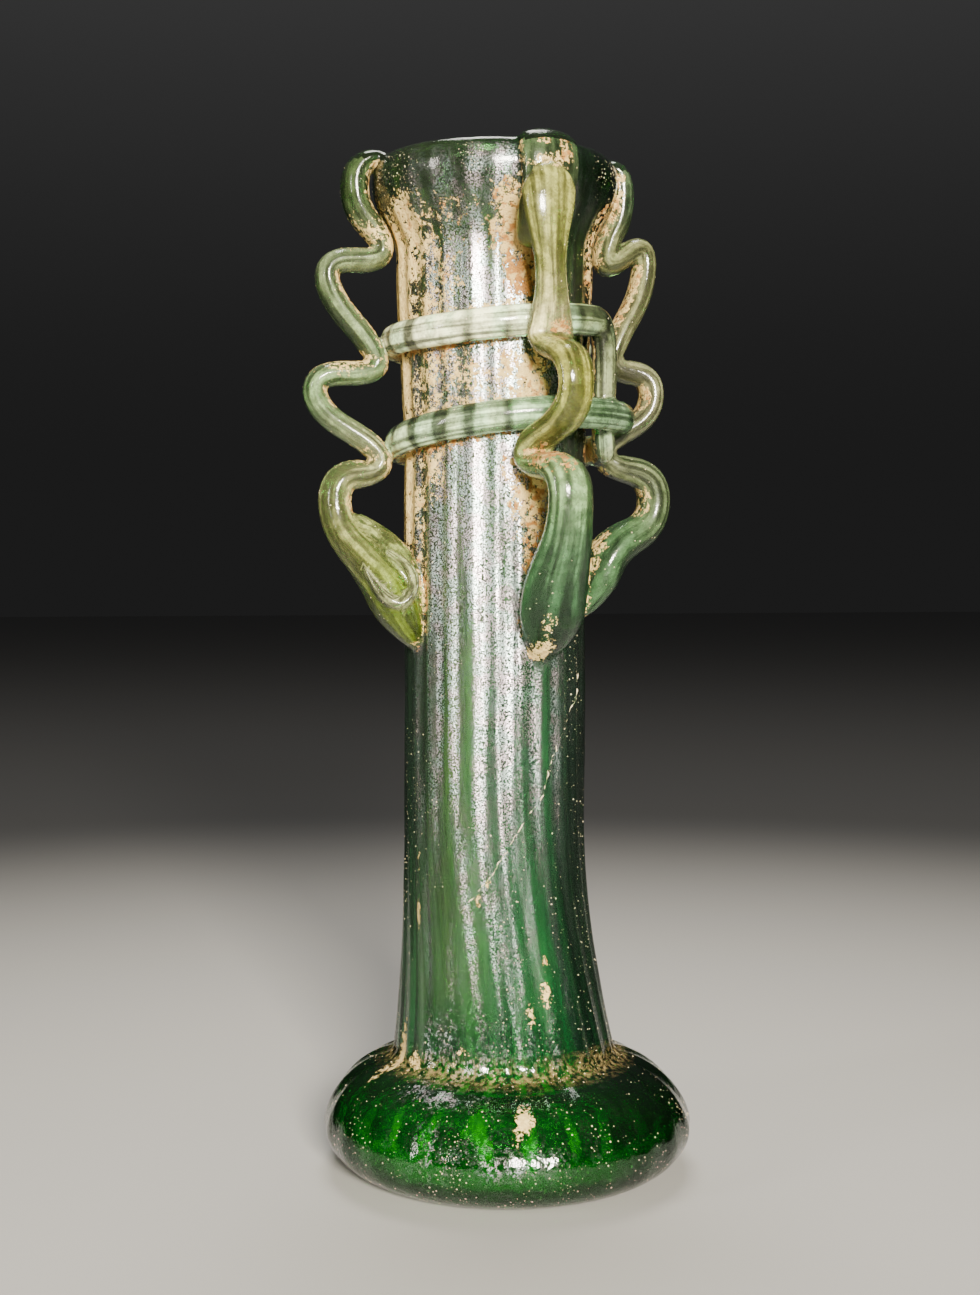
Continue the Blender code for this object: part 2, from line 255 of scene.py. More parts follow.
def skin(bm, rows):
    """Join rings into one tube. A ring may have as many corners as the one before it, or half as many."""
    for low, high in zip(rows, rows[1:]):
        step = len(low) // len(high)
        for i, corner in enumerate(high):
            after = high[(i + 1) % len(high)]
            span = [low[(i * step + k) % len(low)] for k in range(step + 1)]
            bm.faces.new((span[0], span[1], after, corner))
            if step == 2:
                bm.faces.new((span[1], span[2], after))


def cap(bm, row, tip):
    """Close the end of a tube with a fan of triangles."""
    point = bm.verts.new(tip)
    for i, corner in enumerate(row):
        bm.faces.new((corner, row[(i + 1) % len(row)], point))


def place_piece(mesh):
    """Put a mesh in the scene, as an object of the same name at the origin."""
    made = bpy.data.objects.new(mesh.name, mesh)
    bpy.context.scene.collection.objects.link(made)
    return made


def keep_bmesh(bm, name, material=None):
    """Make a bmesh a smooth piece, with a material if it has one already."""
    mesh = bpy.data.meshes.new(name)
    bm.to_mesh(mesh)
    bm.free()
    mesh.shade_smooth()
    if material:
        mesh.materials.append(material)
    return place_piece(mesh)


def finish_mesh(bm, name):
    """Make a closed bmesh a piece whose faces all point outwards."""
    bmesh.ops.recalc_face_normals(bm, faces=bm.faces)
    return keep_bmesh(bm, name)


print("helpers: ring, skin and cap build, place_piece, keep_bmesh and finish_mesh keep what was built")

# %% Turn the bubble
PER_RIB = 8
AROUND = RIB_COUNT * PER_RIB
bm = bmesh.new()
rows = [ring(bm, radius, height, AROUND) for radius, height in underside_profile() + outer_profile()]
ribbed_count = len(rows) * AROUND
rows += [ring(bm, radius, height, AROUND // 2) for radius, height in inner_profile()]
skin(bm, rows)
cap(bm, rows[0], (0.0, 0.0, KICK_DEPTH))
cap(bm, rows[-1], around(0.0, FLOOR_THICKNESS, 0.0))
bubble = finish_mesh(bm, "blown_bubble")
strength = bubble.data.attributes.new("rib_strength", "FLOAT", "POINT")
for vertex in bubble.data.vertices[:ribbed_count]:
    strength.data[vertex.index].value = rib_strength(vertex.co.z)
print("the bubble has", len(bubble.data.polygons), "faces")

# %% [markdown]
# The ribs
#
# The ribs come from a mould with upright grooves, and the maker's last twist carried them aside near the
# foot. They repeat around the wall and follow one rule, so Geometry Nodes raise them: the tree turns each
# ring of the wall by the twist, then moves it outwards where a rib runs. A little noise makes the ribs
# uneven, as hand work is. Count, depth and twist are inputs, so another jar is a matter of typing new ones.


# %% Helpers that build node trees
def wire(tree, node, sockets):
    """Fill sockets: a plain value stays on its socket, and the output of another node is linked to it."""
    for key, value in sockets.items():
        if isinstance(value, bpy.types.NodeSocket):
            tree.links.new(value, node.inputs[key])
        else:
            node.inputs[key].default_value = value


def put(tree, kind, sockets=None, **settings):
    """Add a node, set it up and fill its sockets."""
    made = tree.nodes.new(kind)
    for name, value in settings.items():
        setattr(made, name, value)
    wire(tree, made, sockets or {})
    return made


def maths(tree, operation, *values):
    """One sum of a Math node."""
    return put(tree, "ShaderNodeMath", dict(enumerate(values)), operation=operation).outputs[0]


def along(tree, operation, *values):
    """One sum of a Vector Math node. A length comes out of its second output."""
    made = put(tree, "ShaderNodeVectorMath", dict(enumerate(values)), operation=operation)
    return made.outputs[1] if operation == "LENGTH" else made.outputs[0]


def times(tree, first, *others):
    """The product of several numbers."""
    for other in others:
        first = maths(tree, "MULTIPLY", first, other)
    return first


def eased(tree, value, start, end, low=0.0, high=1.0):
    """An even change from low to high while the value goes from start to end."""
    sockets = {"Value": value, "From Min": start, "From Max": end, "To Min": low, "To Max": high}
    return put(tree, "ShaderNodeMapRange", sockets, interpolation_type="SMOOTHSTEP").outputs[0]


def new_tree(name, inputs):
    """A Geometry Nodes tree with named inputs, and the outputs of its input node."""
    tree = bpy.data.node_groups.new(name, "GeometryNodeTree")
    tree.interface.new_socket("Geometry", in_out="INPUT", socket_type="NodeSocketGeometry")
    for label, kind in inputs:
        tree.interface.new_socket(label, in_out="INPUT", socket_type="NodeSocket" + kind)
    tree.interface.new_socket("Geometry", in_out="OUTPUT", socket_type="NodeSocketGeometry")
    return tree, put(tree, "NodeGroupInput").outputs


def end_tree(tree, geometry, material):
    """End a tree with plain geometry in one material, which the export keeps."""
    real = put(tree, "GeometryNodeRealizeInstances", {"Geometry": geometry}).outputs[0]
    dressed = put(tree, "GeometryNodeSetMaterial", {"Geometry": real, "Material": material}).outputs[0]
    put(tree, "NodeGroupOutput", {0: dressed})


def run_tree(piece, tree, values):
    """Put the tree on a piece, set its inputs and keep what it makes as a plain mesh."""
    modifier = piece.modifiers.new(tree.name, "NODES")
    modifier.node_group = tree
    for item in tree.interface.items_tree:
        if item.in_out == "INPUT" and item.name in values:
            modifier[item.identifier] = values[item.name]
    return keep_evaluated(piece)


def keep_evaluated(piece):
    """Make what a piece's modifiers show its plain mesh."""
    seen = piece.evaluated_get(bpy.context.evaluated_depsgraph_get())
    mesh = bpy.data.meshes.new_from_object(seen)
    piece.modifiers.clear()
    piece.data = mesh
    mesh.name = piece.name
    mesh.shade_smooth()
    return piece


print("helpers: put adds a node, wire links it, new_tree, end_tree and run_tree frame a tree")


# %% The rib tree
def rib_tree():
    """Raise and twist the ribs of the wall."""
    inputs = [("Rib count", "Int"), ("Rib depth", "Float"), ("Rib sharpness", "Float"), ("Twist", "Float")]
    inputs += [("Foot height", "Float"), ("Twist top", "Float"), ("Lean", "Float"), ("Lean top", "Float")]
    inputs += [("Unevenness", "Float"), ("Wave length", "Float"), ("Glass", "Material")]
    tree, given = new_tree("raise_ribs", inputs)
    place = put(tree, "GeometryNodeInputPosition").outputs[0]
    height = put(tree, "ShaderNodeSeparateXYZ", {0: place}).outputs[2]
    aside = times(tree, eased(tree, height, 0.0, given["Lean top"]), given["Lean"])
    middle = put(tree, "ShaderNodeCombineXYZ", {0: aside, 2: height}).outputs[0]
    outward = along(tree, "NORMALIZE", along(tree, "SUBTRACT", place, middle))
    parts = put(tree, "ShaderNodeSeparateXYZ", {0: outward}).outputs
    angle = maths(tree, "ARCTAN2", parts[1], parts[0])
    turn = eased(tree, height, given["Foot height"], given["Twist top"], given["Twist"], 0.0)
    wave = maths(tree, "COSINE", times(tree, angle, given["Rib count"]))
    ridge = maths(tree, "POWER", maths(tree, "MULTIPLY_ADD", wave, 0.5, 0.5), given["Rib sharpness"])
    coarse = along(tree, "DIVIDE", place, given["Wave length"])
    uneven = put(tree, "ShaderNodeTexNoise", {"Vector": coarse, "Scale": 1.0, "Detail": 1.0}).outputs[0]
    spread = times(tree, maths(tree, "SUBTRACT", uneven, 0.5), given["Unevenness"])
    share = times(tree, ridge, maths(tree, "ADD", spread, 0.85))
    strong = put(tree, "GeometryNodeInputNamedAttribute", {"Name": "rib_strength"}).outputs[0]
    lift = times(tree, share, strong, given["Rib depth"])
    raised = along(tree, "ADD", place, along(tree, "MULTIPLY", outward, lift))
    around_axis = {"Vector": raised, "Center": middle, "Axis": (0.0, 0.0, 1.0), "Angle": turn}
    turned = put(tree, "ShaderNodeVectorRotate", around_axis, rotation_type="AXIS_ANGLE").outputs[0]
    moved = put(tree, "GeometryNodeSetPosition", {"Geometry": given["Geometry"], "Position": turned})
    end_tree(tree, moved.outputs[0], given["Glass"])
    return tree


blown_glass = bpy.data.materials.new("blown_glass")
rib_values = {
    "Rib count": RIB_COUNT,
    "Rib depth": RIB_DEPTH,
    "Rib sharpness": 1.4,
    "Twist": math.radians(RIB_TWIST),
    "Foot height": FOOT_HEIGHT,
    "Twist top": TWIST_TOP,
    "Lean": -TUBE_LEAN,
    "Lean top": LEAN_TOP,
    "Unevenness": 0.6,
    "Wave length": 0.012,
    "Glass": blown_glass,
}
run_tree(bubble, rib_tree(), rib_values)
print("ribs raised,", round(time.time() - started, 1), "s")

# %% [markdown]
# The wound trail and the handles
#
# The trail and the handles are drawn rods of hot glass. Each follows a smooth line through a few corners
# that say how far it stands off the wall, and its section swells and thins along the way. A curve with a
# bevel could draw one too, but its section would stay round, and these are flattened straps. The last loop of
# the front handle is pulled up in its middle, because seen from the front its top is an arch.

# %% Sizes of the trail and the handles
TRAIL_HALF_HEIGHT = 0.0023
TRAIL_HALF_DEPTH = 0.0017
TRAIL_START = 69.0
TRAIL_TURNED = 690.0
TRAIL_STEP_AT = 374.0
TRAIL_STEP_REACH = 60.0
TRAIL_STEP_HALF = 1.0
LOWER_TRAIL_DROP = 0.0042
LOWER_DROP_TURNS = (40.0, 200.0)
UPPER_TRAIL_DROP = 0.0020
UPPER_DROP_TURNS = (390.0, 500.0)
TRAIL_STANDOFF = 0.0016
TRAIL_START_STANDOFF = 0.0058
TRAIL_START_REACH = 90.0
TRAIL_STEP_STANDOFF = 0.0034
TRAIL_TAPER = 0.6
TRAIL_TAPER_REACH = 70.0
TRAIL_CORNERS = 26
UPPER_TRAIL_HEIGHT = NECK_TOP - 0.0102
LOWER_TRAIL_HEIGHT = UPPER_TRAIL_HEIGHT - 0.0129
HANDLE_TOUCH_RUN = 0.0017
DROP_LENGTH = 0.0110
DROP_MIDDLE = 0.45
DROP_STANDOFF = 0.0024
BOW_DROP = 0.0072
FOLD_RISE = 0.00008
FOLD_REACH = 0.0029
HANDLE_SECTION = {
    "end": (0.0014, 0.0022),
    "drop": (0.0031, 0.0050),
    "first": (0.0024, 0.0032),
    "strap": (0.0018, 0.0030),
    "bow": (0.0021, 0.0037),
    "fold": (0.0013, 0.0036),
}
HANDLES = {
    "left": {
        "angle": -96.0,
        "below_trail": 0.0332,
        "loops": ((0.0106, 0.60, 0.84), (0.0130, 0.31, 0.68), (0.0106, 0.52, 0.94)),
        "touches": ((-0.0025, 0.0040), (-0.0030, 0.0040), (0.0009, 0.0028)),
        "turns": (17.0, 2.0, 0.0, 0.0, 0.0, 1.0, 0.0, 0.0),
        "bow": 0.0026,
    },
    "front": {
        "angle": 8.0,
        "below_trail": 0.0349,
        "loops": ((0.0111, 0.54, 0.77), (0.0108, -0.07, 0.53), (0.0093, 0.81, 1.66)),
        "touches": ((-0.0058, 0.0028), (-0.0022, 0.0038), (0.0009, 0.0026)),
        "turns": (7.0, 1.0, -4.0, 3.0, 2.0, -6.0, -4.0, 0.0),
        "bow": 0.0006,
    },
    "right": {
        "angle": 87.0,
        "below_trail": 0.0294,
        "loops": ((0.0116, 0.57, 0.86), (0.0106, 0.32, 0.73), (0.0091, 0.70, 1.31)),
        "touches": ((-0.0005, 0.0038), (-0.0016, 0.0044), (0.0006, 0.0028)),
        "turns": (4.0, 1.0, 0.0, -1.0, 0.0, 2.0, 0.0, 0.0),
        "bow": 0.0010,
    },
    "back": {
        "angle": 180.0,
        "below_trail": 0.0324,
        "loops": ((0.0110, 0.60, 0.86), (0.0124, 0.28, 0.68), (0.0103, 0.55, 1.02)),
        "touches": ((-0.0020, 0.0036), (-0.0023, 0.0038), (0.0009, 0.0028)),
        "turns": (-6.0, -2.0, 0.0, 2.0, 0.0, -2.0, 0.0, 0.0),
        "bow": 0.0018,
    },
}
starts = [LOWER_TRAIL_HEIGHT - handle["below_trail"] for handle in HANDLES.values()]
print("the handles start", [round(start / MM, 1) for start in starts], "mm up")


# %% Line of the trail
def rounded(corners, steps):
    """A smooth line from the first corner to the last, with this many steps in each bend."""
    line = [corners[0]]
    start = corners[0]
    for i in range(1, len(corners) - 1):
        last = i == len(corners) - 2
        end = corners[i + 1] if last else (corners[i] + corners[i + 1]) / 2
        for share in between(0.0, 1.0, steps):
            line.append(start * (1 - share) ** 2 + corners[i] * 2 * share * (1 - share) + end * share**2)
        start = end
    return line


def station(radius, height, angle, half_depth, half_width):
    """One place on the line of a rod: where it is, and half its thickness and width."""
    return Vector((radius, height, angle, half_depth, half_width))


def trail_height(turned):
    """The height of the trail after so many degrees of winding."""
    if turned < TRAIL_STEP_AT:
        return LOWER_TRAIL_HEIGHT - LOWER_TRAIL_DROP * smooth_share(turned, *LOWER_DROP_TURNS)
    return UPPER_TRAIL_HEIGHT - UPPER_TRAIL_DROP * smooth_share(turned, *UPPER_DROP_TURNS)


def trail_standoff(turned):
    """How far the trail is off the wall: more at its loose start and where it steps up."""
    near_start = 1.0 - smooth_share(turned, 0.0, TRAIL_START_REACH)
    near_step = 1.0 - smooth_share(abs(turned - TRAIL_STEP_AT), 0.0, TRAIL_STEP_REACH)
    loose = (TRAIL_START_STANDOFF - TRAIL_STANDOFF) * near_start
    return TRAIL_STANDOFF + loose + (TRAIL_STEP_STANDOFF - TRAIL_STANDOFF) * near_step


def trail_corners():
    """The stations of the trail, from its lower start to its upper end."""
    spacing = TRAIL_TURNED / TRAIL_CORNERS
    turns = [i * spacing for i in range(TRAIL_CORNERS + 1)]
    turns = [turned for turned in turns if abs(turned - TRAIL_STEP_AT) > spacing / 2]
    turns += [TRAIL_STEP_AT - TRAIL_STEP_HALF, TRAIL_STEP_AT + TRAIL_STEP_HALF]
    corners = []
    for turned in sorted(turns):
        height = trail_height(turned)
        radius = wall_radius(height) + trail_standoff(turned)
        near_end = smooth_share(turned, TRAIL_TURNED - TRAIL_TAPER_REACH, TRAIL_TURNED)
        size = 1.0 - (1.0 - TRAIL_TAPER) * near_end
        angle = TRAIL_START - turned
        corners.append(station(radius, height, angle, TRAIL_HALF_DEPTH * size, TRAIL_HALF_HEIGHT * size))
    return corners


print("the trail has", len(trail_corners()), "corners")


# %% Lines of the handles
def handle_corners(handle):
    """The stations of a handle, from its drop on the tube to its fold over the lip."""
    turns = iter(handle["turns"])
    corners = []

    def corner(height, radius, aside, kind):
        corners.append(station(radius, height, handle["angle"] + aside, *HANDLE_SECTION[kind]))

    def tube(height):
        return wall_radius(min(height, NECK_TOP))

    foot = LOWER_TRAIL_HEIGHT - handle["below_trail"]
    aside = next(turns)
    corner(foot + HANDLE_SECTION["end"][0], tube(foot), aside, "end")
    corner(foot + DROP_LENGTH * DROP_MIDDLE, tube(foot) + DROP_STANDOFF, aside, "drop")
    corner(foot + DROP_LENGTH, tube(foot) + DROP_STANDOFF * 2, aside / 2, "drop")
    turned = (TRAIL_START - handle["angle"]) % 360.0
    levels = [foot, trail_height(turned), trail_height(turned + 360.0), NECK_TOP]
    for i, (reach, low, top) in enumerate(handle["loops"]):
        kind = "first" if i == 0 else "strap"
        aside = next(turns)
        for share in (low, top):
            height = levels[i] + (levels[i + 1] - levels[i]) * share
            corner(height, tube(height) + reach, aside, kind)
        rise, standoff = handle["touches"][i]
        aside = next(turns)
        height = levels[i + 1] + rise
        corner(height - HANDLE_TOUCH_RUN, tube(height) + standoff, aside, "strap")
        corner(height + HANDLE_TOUCH_RUN, tube(height) + standoff, aside, "strap")
    aside = next(turns)
    fold = HANDLE_SECTION["fold"][0]
    corner(RIM_HEIGHT - BOW_DROP, RIM_RADIUS + handle["bow"], aside, "bow")
    corner(RIM_HEIGHT - fold, RIM_RADIUS + handle["bow"], aside, "bow")
    corner(RIM_HEIGHT + FOLD_RISE, RIM_RADIUS - fold, aside, "fold")
    corner(RIM_HEIGHT - fold, RIM_RADIUS - FOLD_REACH, aside, "fold")
    return corners


print("a handle has", len(handle_corners(HANDLES["front"])), "corners")

# %% Draw a rod
ROD_SIDES = 16
ROD_END = 0.7
ROD_STEPS = 8
TRAIL_STEPS = 16
ROD_SLACK = 0.00006
EVEN = ((0.0, 1.0),)


def across(middles, i, angle, upright):
    """The directions of a rod's thickness and width at one place along it."""
    ahead = (middles[min(i + 1, len(middles) - 1)] - middles[max(i - 1, 0)]).normalized()
    a = math.radians(angle)
    outward = Vector((math.sin(a), -math.cos(a), 0.0))
    aside = Vector((math.cos(a), math.sin(a), 0.0))
    if upright:
        width = (aside - ahead * aside.dot(ahead)).normalized()
        return width.cross(ahead), width
    depth = (outward - ahead * outward.dot(ahead)).normalized()
    return depth, ahead.cross(depth)


def between_values(stops, place):
    """The value at a place on a list of (place, value) stops."""
    if place <= stops[0][0]:
        return stops[0][1]
    for (start, a), (end, b) in zip(stops, stops[1:]):
        if place < end:
            return a + (b - a) * smooth_share(place, start, end)
    return stops[-1][1]


def draw_rod(name, corners, upright, steps=ROD_STEPS, swells=EVEN):
    """Sweep an oval section along the stations of a rod and close both its ends."""
    line = rounded(corners, steps)
    middles = [around(s[0], s[1], s[2]) for s in line]
    bm = bmesh.new()
    rows = []
    for i, (_, _, angle, half_depth, half_width) in enumerate(line):
        depth, width = across(middles, i, angle, upright)
        thick = half_depth - ROD_SLACK
        wide = (half_width - ROD_SLACK) * between_values(swells, i / (len(line) - 1))
        row = []
        for k in range(ROD_SIDES):
            b = 2.0 * math.pi * k / ROD_SIDES
            row.append(bm.verts.new(middles[i] + depth * thick * math.sin(b) + width * wide * math.cos(b)))
        rows.append(row)
    skin(bm, rows)
    cap(bm, rows[0], middles[0] + (middles[0] - middles[1]).normalized() * line[0][3] * ROD_END)
    cap(bm, rows[-1], middles[-1] + (middles[-1] - middles[-2]).normalized() * line[-1][3] * ROD_END)
    return finish_mesh(bm, name)


print("a rod has", ROD_SIDES, "sides")

# %% Draw the trail and the handles
# Hand-drawn glass is thick here and thin there: place along a handle, and how much wider it is.
SWELLS = {
    "front": (
        (0.36, 1.0), (0.41, 0.86), (0.47, 1.0), (0.53, 1.18), (0.60, 0.72),
        (0.67, 1.34), (0.72, 1.10), (0.80, 1.0), (0.89, 1.16),
    ),
    "left": ((0.30, 1.0), (0.36, 0.90), (0.44, 1.08), (0.52, 0.90), (0.64, 1.06), (0.72, 1.0)),
    "right": ((0.30, 1.0), (0.38, 1.06), (0.48, 0.88), (0.58, 1.0), (0.66, 0.90), (0.76, 1.0)),
}
TIP_PLACE = 0.678
TIP_ANGLE = 3.0
TIP_REACH = 0.034
TIP_FLAT = 0.3
TIP_RISE = 0.0030
TIP_HALF = 10.0


def round_the_tip(rod):
    """Pull the front handle's last loop up in its middle, so that its top is an arch, seen from the front."""
    last = (len(rod.data.vertices) - 2) // ROD_SIDES - 1
    for v in rod.data.vertices:
        from_tip = abs(v.index // ROD_SIDES / last - TIP_PLACE)
        near = 1.0 - smooth_share(from_tip, TIP_FLAT * TIP_REACH, TIP_REACH)
        aside = (wall_angle(v.co) - TIP_ANGLE) / TIP_HALF
        v.co.z += TIP_RISE * near * (1.0 - min(1.0, aside * aside))


rods = {"trail": draw_rod("trail_rod", trail_corners(), False, TRAIL_STEPS)}
for name, handle in HANDLES.items():
    rods[name] = draw_rod(name + "_rod", handle_corners(handle), True, swells=SWELLS.get(name, EVEN))
round_the_tip(rods["front"])
print("drawn:", ", ".join(rods))

# %% Draw the leaf and its curl
# The left handle starts as a leaf pressed flat on the tube, with the tail of the rod curled up on it.
# Each station is the radius, height and angle of the line, and half its thickness and width.
LEAF = (
    (0.0206, 0.0925, -92.0, 0.0016, 0.0014), (0.0178, 0.0898, -86.0, 0.0026, 0.0016),
    (0.0156, 0.0868, -78.0, 0.0028, 0.0018), (0.0144, 0.0832, -74.0, 0.0026, 0.0020),
    (0.0138, 0.0795, -74.0, 0.0018, 0.0020), (0.0134, 0.0765, -76.0, 0.0010, 0.0014),
)
CURL = (
    (0.0204, 0.0868, -80.0, 0.0005, 0.0005), (0.0196, 0.0838, -75.0, 0.0007, 0.0008),
    (0.0184, 0.0816, -70.0, 0.0009, 0.0010), (0.0172, 0.0808, -67.0, 0.0009, 0.0010),
    (0.0158, 0.0816, -64.5, 0.0009, 0.0010), (0.0149, 0.0836, -64.5, 0.0008, 0.0009),
    (0.0149, 0.0854, -66.5, 0.0008, 0.0008), (0.0158, 0.0870, -70.5, 0.0007, 0.0007),
    (0.0172, 0.0882, -76.0, 0.0005, 0.0005),
)
rods["left_leaf"] = draw_rod("left_leaf_rod", [station(*place) for place in LEAF], True)
rods["left_curl"] = draw_rod("left_curl_rod", [station(*place) for place in CURL], False)
print("rods have", sum(len(rod.data.polygons) for rod in rods.values()), "faces")

# %% [markdown]
# Fuse the glass
#
# Hot glass melts into one body, with a small soft fillet where two pieces meet. A Boolean union makes the one
# body, and a few rounds of smoothing close to each seam make the fillet. The rods are remembered as trees of
# their faces, so that each vertex of the fused glass can be asked which rod it came from.


# %% Union
def faces_of(mesh):
    """The faces of a mesh as a tree that can be searched."""
    return BVHTree.FromPolygons([v.co.copy() for v in mesh.vertices], [p.vertices[:] for p in mesh.polygons])


rod_faces = {name: faces_of(rod.data) for name, rod in rods.items()}
rod_rows = {name: (len(rod.data.vertices) - 2) // ROD_SIDES for name, rod in rods.items()}
rod_points = {name: [v.co.copy() for v in rod.data.vertices] for name, rod in rods.items()}
wall_faces = faces_of(bubble.data)
rod_set = bpy.data.collections.new("rods")
for rod in rods.values():
    rod_set.objects.link(rod)
    bpy.context.scene.collection.objects.unlink(rod)
glass = bubble
glass.name = "fused_glass"
fuse = glass.modifiers.new("fuse", "BOOLEAN")
fuse.operation = "UNION"
fuse.solver = "EXACT"
fuse.operand_type = "COLLECTION"
fuse.collection = rod_set
keep_evaluated(glass)
print("fused:", len(glass.data.polygons), "faces,", round(time.time() - started, 1), "s")


# %% Soft seams
SEAM_ANGLE = math.radians(22.0)
SEAM_REACH = 0.0011
SEAM_ROUNDS = 10
SEAM_PULL = 0.6


def seam_shares(bm):
    """How near each vertex is to a sharp hollow seam: 1 on it, 0 at SEAM_REACH and beyond."""
    hollow = [e for e in bm.edges if len(e.link_faces) == 2 and e.calc_face_angle_signed(0.0) < -SEAM_ANGLE]
    points = [v.co for e in hollow for v in e.verts] + [(e.verts[0].co + e.verts[1].co) / 2 for e in hollow]
    tree = KDTree(len(points))
    for i, point in enumerate(points):
        tree.insert(point, i)
    tree.balance()
    shares = {}
    for v in bm.verts:
        distance = tree.find(v.co)[2]
        if distance < SEAM_REACH:
            shares[v] = 1.0 - smooth_share(distance, 0.0, SEAM_REACH)
    return shares


def soften_seams(mesh):
    """Draw the vertices near each seam towards their neighbours, a few rounds long."""
    bm = bmesh.new()
    bm.from_mesh(mesh)
    shares = seam_shares(bm)
    for _ in range(SEAM_ROUNDS):
        moved = {}
        for v, share in shares.items():
            near = [e.other_vert(v).co for e in v.link_edges]
            middle = sum(near, Vector()) / len(near)
            moved[v] = v.co.lerp(middle, SEAM_PULL * share)
        for v, place in moved.items():
            v.co = place
    bm.to_mesh(mesh)
    bm.free()
    mesh.shade_smooth()
    return len(shares)


print("softened", soften_seams(glass.data), "vertices at seams,", round(time.time() - started, 1), "s")

# %% [markdown]
# What each spot of glass is
#
# The colour of the glass changes from piece to piece, because each gather was another lump from the pot.
# Every vertex gets a tint: the wall's tint by its height and side, a rod's tint by how far along the rod it
# lies. The darker sides of the wall, the lip and the trail are painted shade. An image could hold the colours
# too, but it would need an unwrapping. So the tint is kept as a colour attribute, which the material reads.

# %% Tints of the wall
WALL_TINTS = (
    (0.000, (0.008, 0.50, 0.03)),
    (0.014, (0.012, 0.60, 0.04)),
    (0.020, (0.16, 0.58, 0.30)),
    (0.060, (0.32, 0.68, 0.46)),
    (0.100, (0.56, 0.76, 0.50)),
    (0.128, (0.58, 0.68, 0.34)),
    (0.138, (0.20, 0.46, 0.18)),
    (0.145, (0.14, 0.38, 0.15)),
)
# Painted shade: the tube is darker on these sides, where its edges fall dark.
PAINTED_SHADE_SIDES = (
    # how dark, angle and reach in degrees, what is left of it above, and the heights between which it fades
    (0.80, 66.0, 28.0, 0.7, 0.040, 0.090),
    (0.50, -94.0, 20.0, 0.0, 0.040, 0.090),
    (0.72, 46.0, 24.0, 0.0, 0.040, 0.090),
    (0.74, 40.0, 32.0, 0.0, 0.012, 0.018),
)
# A side is an angle and its reach in degrees. Heights are where a change starts and where it ends.
WARM_TINT = (0.66, 0.74, 0.34)
WARM_SHARE = 0.55
WARM_SIDE = (-48.0, 26.0)
WARM_HEIGHTS = ((0.018, 0.030), (0.095, 0.115))
RIM_TINT = (0.52, 0.64, 0.36)
RIM_HEIGHTS = (0.130, 0.138)
RIM_PALE_SHARE = 0.7
RIM_PALE_SIDE = (-62.0, 44.0)
RIM_PAINTED_SHADE = 0.5
RIM_SHADED_SIDE = (40.0, 26.0)


def between_tints(stops, place):
    """The tint at a place on a list of (place, colour) stops."""
    if place <= stops[0][0]:
        return Vector(stops[0][1])
    for (start, a), (end, b) in zip(stops, stops[1:]):
        if place < end:
            return Vector(a).lerp(Vector(b), (place - start) / (end - start))
    return Vector(stops[-1][1])


def aside_from(co, middle):
    """How many degrees a point lies to the right of an angle of the wall, or to the left below 0."""
    return (wall_angle(co) - middle + 180.0) % 360.0 - 180.0


def side_of(co, middle, reach):
    """1 at an angle of the wall, and less and less to both sides of it."""
    return math.exp(-((aside_from(co, middle) / reach) ** 2))


def wall_tint(co):
    """The tint of the wall: by its height, then darker on some sides, which is painted shade, and warmer or
    paler on others.
    """
    dark = 0.0
    for amount, middle, reach, left, start, end in PAINTED_SHADE_SIDES:
        low = 1.0 - smooth_share(co.z, start, end)
        dark = max(dark, amount * side_of(co, middle, reach) * (left + (1.0 - left) * low))
    tint = between_tints(WALL_TINTS, co.z) * (1.0 - dark)
    rim = smooth_share(co.z, *RIM_HEIGHTS)
    tint = tint.lerp(Vector(RIM_TINT), RIM_PALE_SHARE * rim * side_of(co, *RIM_PALE_SIDE))
    # Painted shade: the lip is darker on its right side.
    tint *= 1.0 - RIM_PAINTED_SHADE * rim * side_of(co, *RIM_SHADED_SIDE)
    warm = side_of(co, *WARM_SIDE) * window(co.z, *WARM_HEIGHTS)
    return tint.lerp(Vector(WARM_TINT), WARM_SHARE * warm)


tube_front = wall_tint(around(TUBE_RADIUS, TWIST_TOP, 0.0))
print("tint of the tube in front:", [round(part, 2) for part in tube_front])

